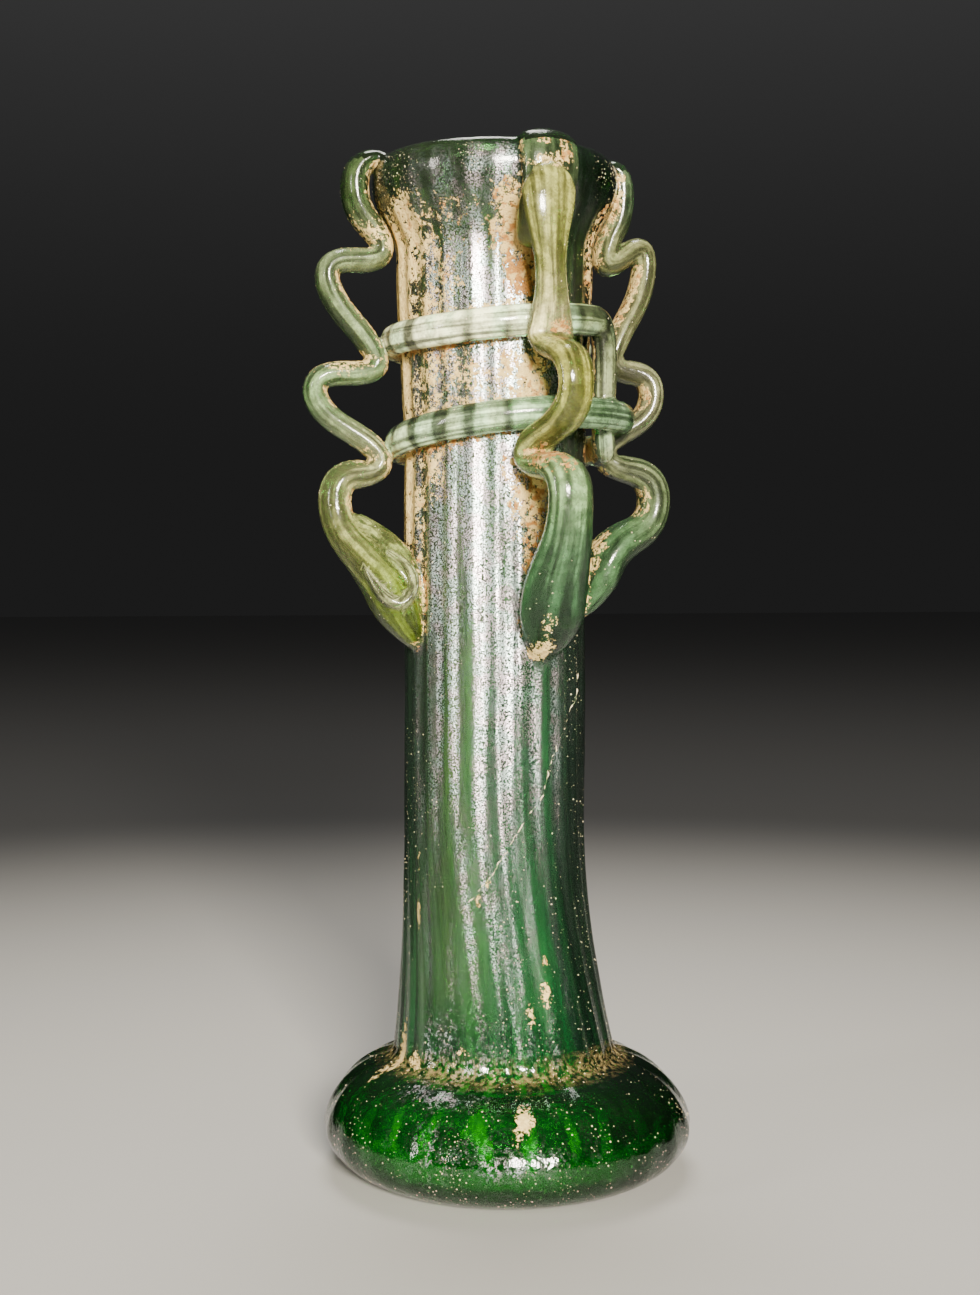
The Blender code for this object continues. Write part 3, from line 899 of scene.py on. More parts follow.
# %% Tints of the rods
ROD_TINTS = {
    "trail": (
        (0.000, (0.24, 0.46, 0.24)), (0.070, (0.34, 0.56, 0.33)), (0.120, (0.76, 1.00, 0.64)),
        (0.490, (0.92, 1.14, 0.76)), (0.530, (0.62, 0.72, 0.42)), (0.575, (0.42, 0.54, 0.29)),
        (0.605, (0.46, 0.60, 0.34)), (0.625, (1.14, 1.20, 0.86)), (1.000, (1.14, 1.20, 0.86)),
    ),
    "left": (
        (0.00, (0.26, 0.38, 0.03)), (0.06, (0.30, 0.42, 0.04)), (0.12, (0.60, 0.64, 0.24)),
        (0.22, (0.68, 0.70, 0.36)), (0.32, (0.60, 0.64, 0.38)), (0.40, (0.46, 0.70, 0.36)),
        (0.56, (0.44, 0.60, 0.32)), (0.66, (0.42, 0.54, 0.30)), (0.80, (0.38, 0.46, 0.24)),
        (0.86, (0.22, 0.34, 0.14)), (1.00, (0.18, 0.32, 0.13)),
    ),
    "front": (
        (0.00, (0.06, 0.20, 0.08)), (0.08, (0.09, 0.26, 0.12)), (0.13, (0.16, 0.36, 0.18)),
        (0.18, (0.36, 0.58, 0.30)), (0.24, (0.42, 0.62, 0.26)), (0.32, (0.55, 0.57, 0.19)),
        (0.42, (0.57, 0.57, 0.13)), (0.50, (0.66, 0.64, 0.24)), (0.53, (1.45, 1.32, 0.72)),
        (0.57, (1.40, 1.28, 0.68)), (0.60, (0.62, 0.62, 0.20)), (0.72, (0.58, 0.60, 0.16)),
        (0.835, (0.46, 0.52, 0.18)), (0.850, (0.24, 0.34, 0.18)), (0.975, (0.16, 0.30, 0.13)),
        (0.985, (0.46, 0.52, 0.18)), (1.00, (0.46, 0.52, 0.18)),
    ),
    "right": (
        (0.00, (0.08, 0.22, 0.09)), (0.10, (0.14, 0.30, 0.14)), (0.18, (0.28, 0.38, 0.20)),
        (0.30, (0.44, 0.46, 0.28)), (0.44, (0.56, 0.56, 0.34)), (0.66, (0.50, 0.52, 0.26)),
        (0.80, (0.46, 0.50, 0.26)), (0.86, (0.30, 0.44, 0.26)), (1.00, (0.26, 0.42, 0.24)),
    ),
    "left_leaf": ((0.0, (0.50, 0.54, 0.22)), (0.5, (0.44, 0.56, 0.16)), (1.0, (0.40, 0.56, 0.10))),
    "left_curl": ((0.0, (0.66, 0.70, 0.40)), (1.0, (0.60, 0.66, 0.32))),
}
ROD_TINTS["back"] = ROD_TINTS["left"]
TRAIL_GREEN = (0.66, 1.02, 0.68)
TRAIL_PAINTED_SHADE = 0.62
TRAIL_SHADED_SIDE = (44.0, 26.0)
BAND_COUNT = 20.0
DARK_BAND = 0.20
BRIGHT_BAND = 1.50
BAND_EDGE = (-0.12, 0.28)
BAND_DRIFT = 1.1
GREEN_EDGE = (-0.15, 0.35)
GREEN_SHARE = 0.6


def banded(angle, height):
    """The trail lies over the ribs and bends their light into upright dark and bright bands."""
    wave = 0.5 + 0.5 * math.cos(math.radians(angle * BAND_COUNT))
    drift = noise.noise(Vector((angle / 14.0, height / 0.02, 0.0)))
    return DARK_BAND + (BRIGHT_BAND - DARK_BAND) * smooth_share(wave + BAND_DRIFT * drift, *BAND_EDGE)


def rod_tint(rod, place, co):
    """The tint of a rod at a place along it. The trail has greener stretches and bands as well, and painted
    shade on its right side.
    """
    own = between_tints(ROD_TINTS[rod], place)
    if rod == "trail":
        angle = wall_angle(co)
        greener = smooth_share(noise.noise(Vector((angle / 9.0, co.z / 0.01, 5.0))), *GREEN_EDGE)
        own = own.lerp(Vector(TRAIL_GREEN), GREEN_SHARE * greener) * banded(angle, co.z)
        # Painted shade: the trail is darker on its right side.
        own *= 1.0 - TRAIL_PAINTED_SHADE * side_of(co, *TRAIL_SHADED_SIDE)
    return own


print("tints for", ", ".join(ROD_TINTS))

# %% Where a spot lies
SAME_PLACE = 0.0005


def whose(co):
    """The rod that a point of the glass lies on, how far along and around it, and 1 on it or 0 off it."""
    best, nearest = (None, 0.0, 0.0), SAME_PLACE
    for name, faces in rod_faces.items():
        found = faces.find_nearest(co, nearest)
        if found[0] is not None:
            best, nearest = (name, *spot_on(name, found[0], found[2])), found[3]
    on_wall = wall_faces.find_nearest(co, SAME_PLACE)
    off = on_wall[3] if on_wall[0] is not None else SAME_PLACE
    share = off / max(off + nearest, 1e-9) if best[0] else 0.0
    return *best, share


def spot_on(name, co, face):
    """How far along a rod a point of one of its faces is, from 0 to 1, and how far around it, as an angle."""
    row, column = divmod(face, ROD_SIDES)
    if row >= rod_rows[name] - 1:
        return (0.0 if row == rod_rows[name] - 1 else 1.0), 0.0
    corner = rod_points[name][row * ROD_SIDES + column]
    step = rod_points[name][row * ROD_SIDES + (column + 1) % ROD_SIDES] - corner
    share = min(1.0, max(0.0, (co - corner).dot(step) / step.length_squared))
    return row / (rod_rows[name] - 1), 2.0 * math.pi * (column + share) / ROD_SIDES


print("a point of the front rod lies on:", whose(rod_points["front"][ROD_SIDES * 20])[0])

# %% Tint the glass
ON_ROD = 0.5
MELTED = (0.2, 0.8)
DRAWN_WALL = Vector((420.0, 420.0, 28.0))
DRAWN_ROUND = 2.4
DRAWN_LONG = 9.0


def tint_glass(mesh):
    """Keep on each vertex its tint, how far it is on a rod, and the place that the cords are drawn by."""
    mesh.attributes.new("tint", "FLOAT_COLOR", "POINT")
    mesh.attributes.new("of_rod", "FLOAT", "POINT")
    mesh.attributes.new("drawn", "FLOAT_VECTOR", "POINT")
    tints, of_rod, drawn = [mesh.attributes[name].data for name in ("tint", "of_rod", "drawn")]
    for v in mesh.vertices:
        rod, place, turn, share = whose(v.co)
        tint = wall_tint(v.co)
        drawn[v.index].vector = v.co * DRAWN_WALL
        if rod:
            tint = tint.lerp(rod_tint(rod, place, v.co), smooth_share(share, *MELTED))
        if rod and share > ON_ROD:
            around_rod = (math.cos(turn) * DRAWN_ROUND, math.sin(turn) * DRAWN_ROUND)
            drawn[v.index].vector = (*around_rod, place * DRAWN_LONG)
        tints[v.index].color = (*tint, 1.0)
        of_rod[v.index].value = share if rod else 0.0


tint_glass(glass.data)
print("tinted,", round(time.time() - started, 1), "s")

# %% [markdown]
# The glass
#
# Old glass is see-through, but not clean: the ground etched a fine bloom into it, and the iron in its sand
# makes it green. The Principled shader is set to full transmission with glass's own refraction. Streaks drawn
# out along the tube vary the tint, pits give the surface its grain, and an absorption volume makes thick
# places darker than thin ones.


# %% Helpers for looks
def new_material(material):
    """The node tree, the shader and the output node of a material."""
    material.use_nodes = True
    tree = material.node_tree
    return tree, tree.nodes["Principled BSDF"], tree.nodes["Material Output"]


def kept(tree, name, output="Fac"):
    """A value that the mesh keeps on its vertices."""
    return put(tree, "ShaderNodeAttribute", attribute_name=name).outputs[output]


def place_on(tree):
    """The place of a point, in metres from the origin."""
    return put(tree, "ShaderNodeTexCoord").outputs["Object"]


def split(tree, vector):
    """The three parts of a vector."""
    return put(tree, "ShaderNodeSeparateXYZ", {0: vector}).outputs


def mixed(tree, share, first, second):
    """A colour between two colours."""
    return put(tree, "ShaderNodeMix", {0: share, 6: first, 7: second}, data_type="RGBA").outputs[2]


def even_noise(tree, scale, detail=3.0):
    """Noise that is the same in all directions."""
    sockets = {"Vector": place_on(tree), "Scale": scale, "Detail": detail}
    return put(tree, "ShaderNodeTexNoise", sockets).outputs[0]


def drawn_out(tree, across_scale, up_scale, detail=3.0):
    """Noise that is drawn out along the tube, as the cords in the glass are."""
    stretch = {"Vector": place_on(tree), "Scale": (across_scale, across_scale, up_scale)}
    place = put(tree, "ShaderNodeMapping", stretch).outputs[0]
    return put(tree, "ShaderNodeTexNoise", {"Vector": place, "Scale": 1.0, "Detail": detail}).outputs[0]


def cords(tree):
    """Noise that is drawn out along the tube, and along each rod, as the cords in drawn glass are."""
    place = kept(tree, "drawn", "Vector")
    return put(tree, "ShaderNodeTexNoise", {"Vector": place, "Scale": 1.0, "Detail": 3.0}).outputs[0]


def height_share(tree, start, end, low=0.0, high=1.0):
    """An even change from low to high between two heights."""
    return eased(tree, split(tree, place_on(tree))[2], start, end, low, high)


def bumps(tree, strength, distance, height):
    """A surface that looks raised where a value is high."""
    sockets = {"Strength": strength, "Distance": distance, "Height": height}
    return put(tree, "ShaderNodeBump", sockets).outputs[0]


print("looks so far:", len(bpy.data.materials))

# %% Glass material
GLASS_IOR = 1.5
GLASS_CLEAR = 0.98
GLASS_ROUGH = (0.07, 0.20)
GLASS_DENSITY = 300.0
THICK_GLASS = (0.22, 0.64, 0.30, 1.0)
tree, shader, output = new_material(blown_glass)
rough = eased(tree, even_noise(tree, 260.0), 0.3, 0.7, *GLASS_ROUGH)
rough = maths(tree, "MULTIPLY_ADD", kept(tree, "of_rod"), 0.02, rough)
wrinkles = times(tree, even_noise(tree, 850.0, 2.0), height_share(tree, 0.013, 0.020, 2.4, 0.3))
pits = times(tree, even_noise(tree, 2600.0, 4.0), 0.6)
grain = maths(tree, "ADD", pits, times(tree, drawn_out(tree, 900.0, 60.0), 0.8))
streaks = eased(tree, cords(tree), 0.32, 0.68, 0.70, 1.12)
looks = {
    "Base Color": along(tree, "MULTIPLY", kept(tree, "tint", "Color"), streaks),
    "Roughness": times(tree, rough, height_share(tree, 0.030, 0.080, 0.6, 1.0)),
    "Normal": bumps(tree, 0.35, 0.00012, maths(tree, "ADD", grain, wrinkles)),
    "Transmission Weight": GLASS_CLEAR,
    "IOR": GLASS_IOR,
}
wire(tree, shader, looks)
volume = put(tree, "ShaderNodeVolumeAbsorption", {"Color": THICK_GLASS, "Density": GLASS_DENSITY})
wire(tree, output, {"Volume": volume.outputs[0]})
print("the glass has", len(tree.nodes), "nodes")

# %% [markdown]
# The weathered lining
#
# Water in the ground leached the inside of the tube into a thin milky film. It is what makes the tube glow:
# light goes through the green wall, scatters in the film and comes back green. The film is a shell a hair
# inside the bore, and noise drawn out along the tube opens it in places. In the foot the film is cut into
# bars by the angle around the jar, one behind each rib, and painted bright green: a painted glow of the light
# that the ribs bring into the foot.

# %% Lining
FILM_GAP = 0.00005
FILM_SKIPS = 9
FOOT_GLOW_GREEN = (0.10, 0.85, 0.16, 1.0)


def lining_profile():
    """The bore, a hair inside the glass, from under the lip to the floor."""
    return [(radius - FILM_GAP, height) for radius, height in inner_profile() if radius > FILM_GAP]


bm = bmesh.new()
skin(bm, [ring(bm, radius, height, AROUND // 2) for radius, height in lining_profile()[FILM_SKIPS:-1]])
for face in bm.faces:
    face.normal_flip()
film = bpy.data.materials.new("milky_film")
lining = keep_bmesh(bm, "weathered_lining", film)
tree, shader, output = new_material(film)
in_foot = height_share(tree, FOOT_HEIGHT - FOOT_WALL, FOOT_HEIGHT + FOOT_WALL, 1.0, 0.0)
parts = split(tree, place_on(tree))
waver = times(tree, even_noise(tree, 90.0), 9.0)
turned = maths(tree, "MULTIPLY_ADD", maths(tree, "ARCTAN2", parts[1], parts[0]), RIB_COUNT, waver)
# Painted glow: in the foot the film is cut into bright green bars, one behind each rib.
bars = eased(tree, maths(tree, "COSINE", turned), 0.1, 0.95, 0.08, 0.95)
torn = eased(tree, drawn_out(tree, 330.0, 22.0, 4.0), 0.36, 0.66, 0.02, 0.50)
left_to_right = maths(tree, "MULTIPLY_ADD", even_noise(tree, 180.0), 0.008, parts[0])
side = eased(tree, left_to_right, -0.006, 0.010)
tube_colour = mixed(tree, side, (0.62, 0.62, 0.36, 1.0), (0.34, 0.60, 0.48, 1.0))
looks = {
    "Alpha": put(tree, "ShaderNodeMix", {0: in_foot, 2: torn, 3: bars}).outputs[0],
    "Base Color": mixed(tree, in_foot, tube_colour, FOOT_GLOW_GREEN),
    "Roughness": 0.6,
}
wire(tree, shader, looks)
print("lining:", len(lining.data.polygons), "faces")

# %% [markdown]
# The silvery bloom
#
# Outside, weathering has split the surface into leaves thinner than light's wavelength. They mirror light as
# mother-of-pearl does, which gives the tube its grainy silver band with a hint of pink and blue. The bloom is
# a copy of the wall's faces, a hair off the glass, made of a rough metal that noise breaks into fine grains.
# How much there is comes from the height and the side: denser in a band left of the middle, a painted
# highlight where the key lamp's streak falls, and thinner on the tube's flanks, painted shade. A few spots
# near the foot are listed.


# %% Copies of the glass surface
BASE_MARGIN = 0.0004
LIP_MARGIN = 0.001
SPOT_FALL = 0.7
SPOT_EDGE = 1.5


def outside_faces(mesh):
    """Which faces look away from the middle line or stand off the bore."""
    kept_faces = []
    for face in mesh.polygons:
        co = face.center
        from_middle = math.hypot(co.x - lean(co.z), co.y)
        outer = min(wall_radius(max(co.z, FOOT_BULGE_HEIGHT)), RIM_RADIUS)
        bore = co.z > FLOOR_THICKNESS / 2 and from_middle < outer - TUBE_WALL / 2
        kept_faces.append(not bore and BASE_MARGIN < co.z < RIM_HEIGHT - LIP_MARGIN)
    return kept_faces


def cut_away(bm, unwanted):
    """Delete the faces of a bmesh that aren't wanted."""
    bmesh.ops.delete(bm, geom=[face for face in bm.faces if unwanted(face)], context="FACES")


def surface_copy():
    """A bmesh of the outside of the glass, which still knows the glass's attributes."""
    bm = bmesh.new()
    bm.from_mesh(glass.data)
    bm.faces.ensure_lookup_table()
    cut_away(bm, lambda face: not outside[face.index])
    return bm


def new_layers(bm, *names):
    """Layers of a bmesh for these values and for of_rod, which the glass has already."""
    for name in names:
        bm.verts.layers.float.new(name)
    return [bm.verts.layers.float[name] for name in ("of_rod", *names)]


def near_spot(co, middle, height, wide, tall):
    """1 in the middle of a patch of the wall, and less and less towards its edge."""
    aside = aside_from(co, middle) / wide
    up = (co.z - height) / tall
    return math.exp(-SPOT_FALL * (aside * aside + up * up) ** SPOT_EDGE)


outside = outside_faces(glass.data)
print("outside:", sum(outside), "of", len(outside), "faces")

# %% Bloom
BLOOM_GAP = 0.000012
BLOOM_TOP = RIM_HEIGHT - 0.0008
GLEAM_SIDE = -18.0
GLEAM_REACH = 12.0
BLOOM_HEIGHTS = (0.036, 0.080)
FOOT_HEIGHTS = (0.014, 0.018)
MOUTH_HEIGHTS = (0.122, 0.134)
LIP_HEIGHTS = (0.1385, 0.1410)
GLEAM_HEIGHTS = ((0.060, 0.085), (0.126, 0.132))
SHADED_FLANK_ANGLES = ((36.0, 66.0), (115.0, 150.0))
TEAL_ANGLES = ((-8.0, 8.0), (60.0, 90.0))
SILVER_SPOTS = (
    # angle and height of the middle, half width in degrees, half height, and how much
    (-51.0, 0.0198, 9.0, 0.0034, 1.8),
    (-36.0, 0.0175, 9.0, 0.0014, 1.5),
    (-40.0, 0.0147, 15.0, 0.0010, 1.1),
    (-40.0, 0.0085, 8.0, 0.0036, 0.40),
    (-18.0, 0.0070, 7.0, 0.0012, 0.45),
)


def bloom_and_gleam_at(co):
    """How much bloom a spot of the wall has: most up the tube, and in a band to the left of the middle, which
    is a painted highlight; the flanks get less, which is painted shade.
    """
    high = smooth_share(co.z, *BLOOM_HEIGHTS)
    low = 1.0 - smooth_share(co.z, *FOOT_HEIGHTS)
    even = 0.12 + 0.88 * high - 0.08 * low
    even *= 1.0 - 0.66 * smooth_share(co.z, *MOUTH_HEIGHTS)
    even *= 1.0 - 0.55 * smooth_share(co.z, *LIP_HEIGHTS)
    # Painted shade: less bloom on the tube's flanks, seen from the front, so that they look dark.
    even *= 1.0 - 0.80 * window(abs(aside_from(co, GLEAM_SIDE)), *SHADED_FLANK_ANGLES)
    even *= 1.0 - 0.45 * window(wall_angle(co), *TEAL_ANGLES)
    gleam = window(co.z, *GLEAM_HEIGHTS)
    # Painted highlight: more bloom in a band where the key lamp's streak falls, most at the gleam heights.
    even *= 1.0 + (0.60 + 1.6 * gleam) * side_of(co, GLEAM_SIDE, GLEAM_REACH)
    return max(even, max(amount * near_spot(co, *spot) for *spot, amount in SILVER_SPOTS))


bm = surface_copy()
of_rod, bloom_and_gleam = new_layers(bm, "bloom_and_gleam")
cut_away(bm, lambda face: min(v[of_rod] for v in face.verts) > ON_ROD)
cut_away(bm, lambda face: face.calc_center_median().z > BLOOM_TOP)
bm.normal_update()
for v in bm.verts:
    v[bloom_and_gleam] = bloom_and_gleam_at(v.co) * (1.0 - v[of_rod])
    v.co += v.normal * BLOOM_GAP
bloom_look = bpy.data.materials.new("silvery_bloom")
bloom = keep_bmesh(bm, "silvery_bloom", bloom_look)
print("bloom:", len(bloom.data.polygons), "faces")

# %% Bloom material
tree, shader, output = new_material(bloom_look)
grain = eased(tree, even_noise(tree, 4200.0, 2.0), 0.40, 0.60)
veins = eased(tree, drawn_out(tree, 520.0, 32.0), 0.40, 0.60, 0.16, 1.0)
blotches = eased(tree, even_noise(tree, 1500.0, 5.0), 0.44, 0.58)
blotches = maths(tree, "MAXIMUM", blotches, height_share(tree, 0.0205, 0.034))
cover = times(tree, times(tree, grain, veins), times(tree, kept(tree, "bloom_and_gleam"), blotches))
rose = eased(tree, even_noise(tree, 420.0), 0.4, 0.6)
looks = {
    "Alpha": times(tree, cover, 0.94),
    "Base Color": mixed(tree, rose, (0.92, 0.80, 0.86, 1.0), (0.74, 0.90, 0.88, 1.0)),
    "Metallic": 1.0,
    "Roughness": 0.42,
    "Normal": bumps(tree, 0.5, 0.0001, even_noise(tree, 5200.0, 1.0)),
}
wire(tree, shader, looks)
print("the bloom has", len(tree.nodes), "nodes")

# %% [markdown]
# The matt skin of the rods
#
# The trail and the handles lost their fire polish too, but they look soft and cloudy, like jade. A skin a
# hair off each rod takes the rod's own tint. How dense it is goes by the rod: densest on the trail, and
# clearer on the front handle's foot and on the folds. Noise makes it denser here and thinner there.

# %% Skin
SKIN_GAP = 0.000012
SKIN_EDGE = (0.4, 0.9)
SKIN_COVER = {
    "trail": 0.70, "front": 0.54, "right": 0.36, "back": 0.42,
    "left": 0.40, "left_leaf": 0.46, "left_curl": 0.42,
}
FOLD_PLACES = (0.83, 0.88)
FOOT_PLACES = (0.02, 0.14)


def cloud_at(co):
    """How dense the skin is at a spot of a rod."""
    rod, place = whose(co)[:2]
    folded = smooth_share(place, *FOLD_PLACES) if rod in HANDLES else 0.0
    clear = 1.0 - smooth_share(place, *FOOT_PLACES) if rod == "front" else 0.0
    return SKIN_COVER.get(rod, 0.0) * (1.0 - 0.50 * folded - 0.75 * clear)


bm = surface_copy()
of_rod, cloud = new_layers(bm, "cloud")
cut_away(bm, lambda face: max(v[of_rod] for v in face.verts) < ON_ROD)
bm.normal_update()
for v in bm.verts:
    v[cloud] = cloud_at(v.co) * smooth_share(v[of_rod], *SKIN_EDGE)
    v.co += v.normal * SKIN_GAP
skin_look = bpy.data.materials.new("cloudy_skin")
rod_skin = keep_bmesh(bm, "cloudy_skin", skin_look)
print("skin:", len(rod_skin.data.polygons), "faces")

# %% Skin material
tree, shader, output = new_material(skin_look)
streaks = cords(tree)
cloudy = eased(tree, even_noise(tree, 700.0, 4.0), 0.3, 0.7, 0.6, 1.3)
pitted = times(tree, cloudy, eased(tree, even_noise(tree, 2600.0, 2.0), 0.36, 0.60, 0.80, 1.12))
thick = times(tree, pitted, eased(tree, streaks, 0.38, 0.62, 0.50, 1.3))
shade = along(tree, "MULTIPLY", (0.52, 0.52, 0.44), eased(tree, streaks, 0.38, 0.62, 0.56, 1.34))
looks = {
    "Alpha": times(tree, kept(tree, "cloud"), thick),
    "Base Color": along(tree, "MULTIPLY", kept(tree, "tint", "Color"), shade),
    "Roughness": 0.55,
    "Specular IOR Level": 0.2,
    "Coat Weight": 0.9,
    "Coat Roughness": 0.10,
}
wire(tree, shader, looks)
print("the skin has", len(tree.nodes), "nodes")

# %% [markdown]
# The crust
#
# Lime and clay from the ground are baked onto the glass. They are thickest where a tool can't reach: in the
# seams around the trail, inside the loops of the handles, in the crease above the foot, and on the side of
# the mouth that lay in the soil. The crust is a copy of the glass surface where there is soil, lifted by how
# much there is, so it follows every handle. Noise makes its ragged edges.

# %% Patches of soil
SOIL_PATCHES = (
    # angle and height of the middle, half width in degrees, half height, how much, how orange
    (-72.0, 0.1342, 15.0, 0.0045, 0.62, 0.25),
    (-80.0, 0.1280, 14.0, 0.0060, 0.58, 0.15),
    (-93.0, 0.1250, 20.0, 0.0100, 0.86, 0.05),
    (-54.0, 0.1215, 12.0, 0.0045, 0.42, 0.20),
    (-60.0, 0.1320, 15.0, 0.0060, 0.38, 0.35),
    (-40.0, 0.1330, 16.0, 0.0060, 0.20, 0.60),
    (-22.0, 0.1330, 8.0, 0.0040, 0.22, 0.80),
    (-6.0, 0.1330, 11.0, 0.0062, 0.70, 0.50),
    (0.0, 0.1284, 11.0, 0.0056, 0.72, 0.86),
    (-45.0, 0.1260, 14.0, 0.0035, 0.26, 0.30),
    (-62.0, 0.1110, 34.0, 0.0060, 0.38, 0.20),
    (-30.0, 0.1110, 24.0, 0.0060, 0.24, 0.30),
    (2.0, 0.1115, 17.0, 0.0070, 0.55, 0.30),
    (-94.0, 0.1115, 16.0, 0.0070, 0.74, 0.10),
    (-92.0, 0.0965, 17.0, 0.0095, 0.80, 0.05),
    (-62.0, 0.0985, 14.0, 0.0045, 0.36, 0.30),
    (-70.0, 0.0880, 10.0, 0.0070, 0.30, 0.20),
    (6.0, 0.0955, 12.0, 0.0060, 0.62, 0.50),
    (12.0, 0.0880, 10.0, 0.0070, 0.50, 0.70),
    (0.0, 0.1000, 14.0, 0.0025, 0.36, 0.60),
    (-71.0, 0.0379, 2.6, 0.0018, 0.78, 0.00),
    (-70.0, 0.0440, 3.0, 0.0022, 0.26, 0.00),
    (10.4, 0.0272, 3.0, 0.0022, 0.46, 0.10),
    (0.0, 0.0247, 3.0, 0.0018, 0.44, 0.10),
    (12.0, 0.0320, 2.0, 0.0008, 0.50, 0.50),
    (-20.4, 0.0429, 2.0, 0.0008, 0.50, 0.40),
    (-26.0, 0.0400, 2.6, 0.0012, 0.34, 0.50),
    (-10.0, 0.0128, 2.8, 0.0013, 0.74, 0.00),
    (-13.0, 0.0108, 1.8, 0.0014, 0.60, 0.00),
    (-82.0, 0.0185, 4.0, 0.0036, 0.66, 0.20),
    (-68.0, 0.0172, 5.0, 0.0016, 0.36, 0.10),
    (-40.0, 0.0185, 12.0, 0.0020, 0.22, 0.00),
    (62.0, 0.1290, 14.0, 0.0080, 0.46, 0.60),
    (76.0, 0.1150, 14.0, 0.0080, 0.46, 0.50),
    (100.0, 0.1120, 26.0, 0.0070, 0.46, 0.50),
    (150.0, 0.1280, 24.0, 0.0080, 0.50, 0.40),
    (210.0, 0.1120, 30.0, 0.0060, 0.44, 0.30),
    (236.0, 0.1260, 20.0, 0.0090, 0.52, 0.25),
    (172.0, 0.0910, 16.0, 0.0080, 0.52, 0.50),
    (120.0, 0.0560, 10.0, 0.0090, 0.34, 0.30),
    (205.0, 0.0420, 14.0, 0.0080, 0.36, 0.20),
    (160.0, 0.0160, 26.0, 0.0030, 0.42, 0.10),
)
ROD_SOIL = (
    # the same for the rods: around the front handle's last loop, and where the rods touch the wall
    (5.0, 0.1402, 8.0, 0.0012, 0.58, 0.10),
    (13.5, 0.1420, 2.4, 0.0024, 0.62, 0.85),
    (4.0, 0.1434, 2.0, 0.0006, 0.50, 0.60),
    (9.0, 0.0748, 5.0, 0.0018, 0.60, 0.05),
    (8.0, 0.0785, 4.0, 0.0012, 0.44, 0.10),
    (4.0, 0.1005, 7.0, 0.0020, 0.46, 0.90),
    (13.0, 0.1185, 7.0, 0.0010, 0.46, 0.80),
    (-97.0, 0.1335, 14.0, 0.0030, 0.34, 0.10),
    (-97.0, 0.1150, 14.0, 0.0022, 0.32, 0.10),
    (-97.0, 0.1015, 14.0, 0.0022, 0.30, 0.10),
    (58.0, 0.1280, 16.0, 0.0030, 0.36, 0.30),
)
print("patches of soil:", len(SOIL_PATCHES), "on the wall,", len(ROD_SOIL), "on the rods")

# %% Where the soil stayed
SEAM_SOIL = 0.0022
SEAM_FULL = 0.0002
SEAM_FROM = (0.060, 0.098)
SEAM_AMOUNT = 0.54
LOOP_AMOUNT = 0.50
LOOP_FACING = (0.25, 0.9)
CREASE_AMOUNT = 0.34
CREASE_REACH = 0.0006
DUST_REACH = 0.0019
RIM_CLEAR = 0.0035
LIP_FROM = (RIM_HEIGHT - 2 * RIM_CLEAR, RIM_HEIGHT - RIM_CLEAR)
LOOP_WARMTH = 0.35
PALE_SEAM = 0.2
CLAY_AND_SHADE_SEAM = 0.9


def patch_soil(co, patches):
    """How much soil the patches leave at a point, and how orange it is."""
    soils = [amount * near_spot(co, *spot) for *spot, amount, _ in patches]
    shares = [soil * soil + 1e-9 for soil in soils]
    warm = sum(share * row[-1] for share, row in zip(shares, patches)) / sum(shares)
    return max(soils), warm


def seam_soil(co, of_rod):
    """How much soil sits in the seam between a rod and the wall."""
    if of_rod > ON_ROD:
        found = wall_faces.find_nearest(co, SEAM_SOIL)
        nearest = found[3] if found[0] is not None else SEAM_SOIL
    else:
        found = [faces.find_nearest(co, SEAM_SOIL) for faces in rod_faces.values()]
        nearest = min([f[3] for f in found if f[0] is not None] or [SEAM_SOIL])
    return SEAM_AMOUNT * (1.0 - smooth_share(nearest, SEAM_FULL, SEAM_SOIL)) * smooth_share(co.z, *SEAM_FROM)


def above_trail(co):
    """Whether the nearest turn of the trail is below a point of the wall."""
    turned = (TRAIL_START - wall_angle(co)) % 360.0
    turns = [trail_height(turned), trail_height(turned + 360.0)]
    return min(turns, key=lambda height: abs(height - co.z)) < co.z


def from_crease(co):
    """How far a point is from the crease where the tube meets the foot."""
    return math.hypot(math.hypot(co.x - lean(co.z), co.y) - CREASE_RADIUS, co.z - FOOT_HEIGHT)


def soil_at(co, normal, of_rod):
    """How much soil lies on a spot of the glass, and how orange it is."""
    out = Vector((co.x - lean(co.z), co.y, 0.0)).normalized()
    if of_rod > ON_ROD:
        inside = LOOP_AMOUNT * smooth_share(-normal.dot(out), *LOOP_FACING)
        inside *= 1.0 - smooth_share(co.z, RIM_HEIGHT - RIM_CLEAR, RIM_HEIGHT)
        own, warm = patch_soil(co, ROD_SOIL)
        soil = max(inside, seam_soil(co, of_rod))
        return max(own, soil), (warm if own > soil else LOOP_WARMTH)
    soil, warm = patch_soil(co, SOIL_PATCHES)
    crease = CREASE_AMOUNT * math.exp(-((from_crease(co) / CREASE_REACH) ** 2))
    seam = seam_soil(co, of_rod)
    if max(crease, seam) > soil:
        soil = max(crease, seam)
        # Seam soil under a turn of the trail is clay-dark: partly the clay there, partly painted shade under
        # the trail.
        warm = PALE_SEAM if crease > seam or above_trail(co) else CLAY_AND_SHADE_SEAM
    return soil * (1.0 - smooth_share(co.z, *LIP_FROM)), warm


soil, warm = soil_at(around(CREASE_RADIUS, FOOT_HEIGHT, 0.0), Vector((0.0, 0.0, 1.0)), 0.0)
print("soil in the crease:", round(soil, 2))

# %% Lay the crust
CRUST_THICKNESS = 0.00020
CRUST_GAP = 0.00002
CRUST_FULL = (0.3, 1.1)
LEAST_SOIL = 0.08


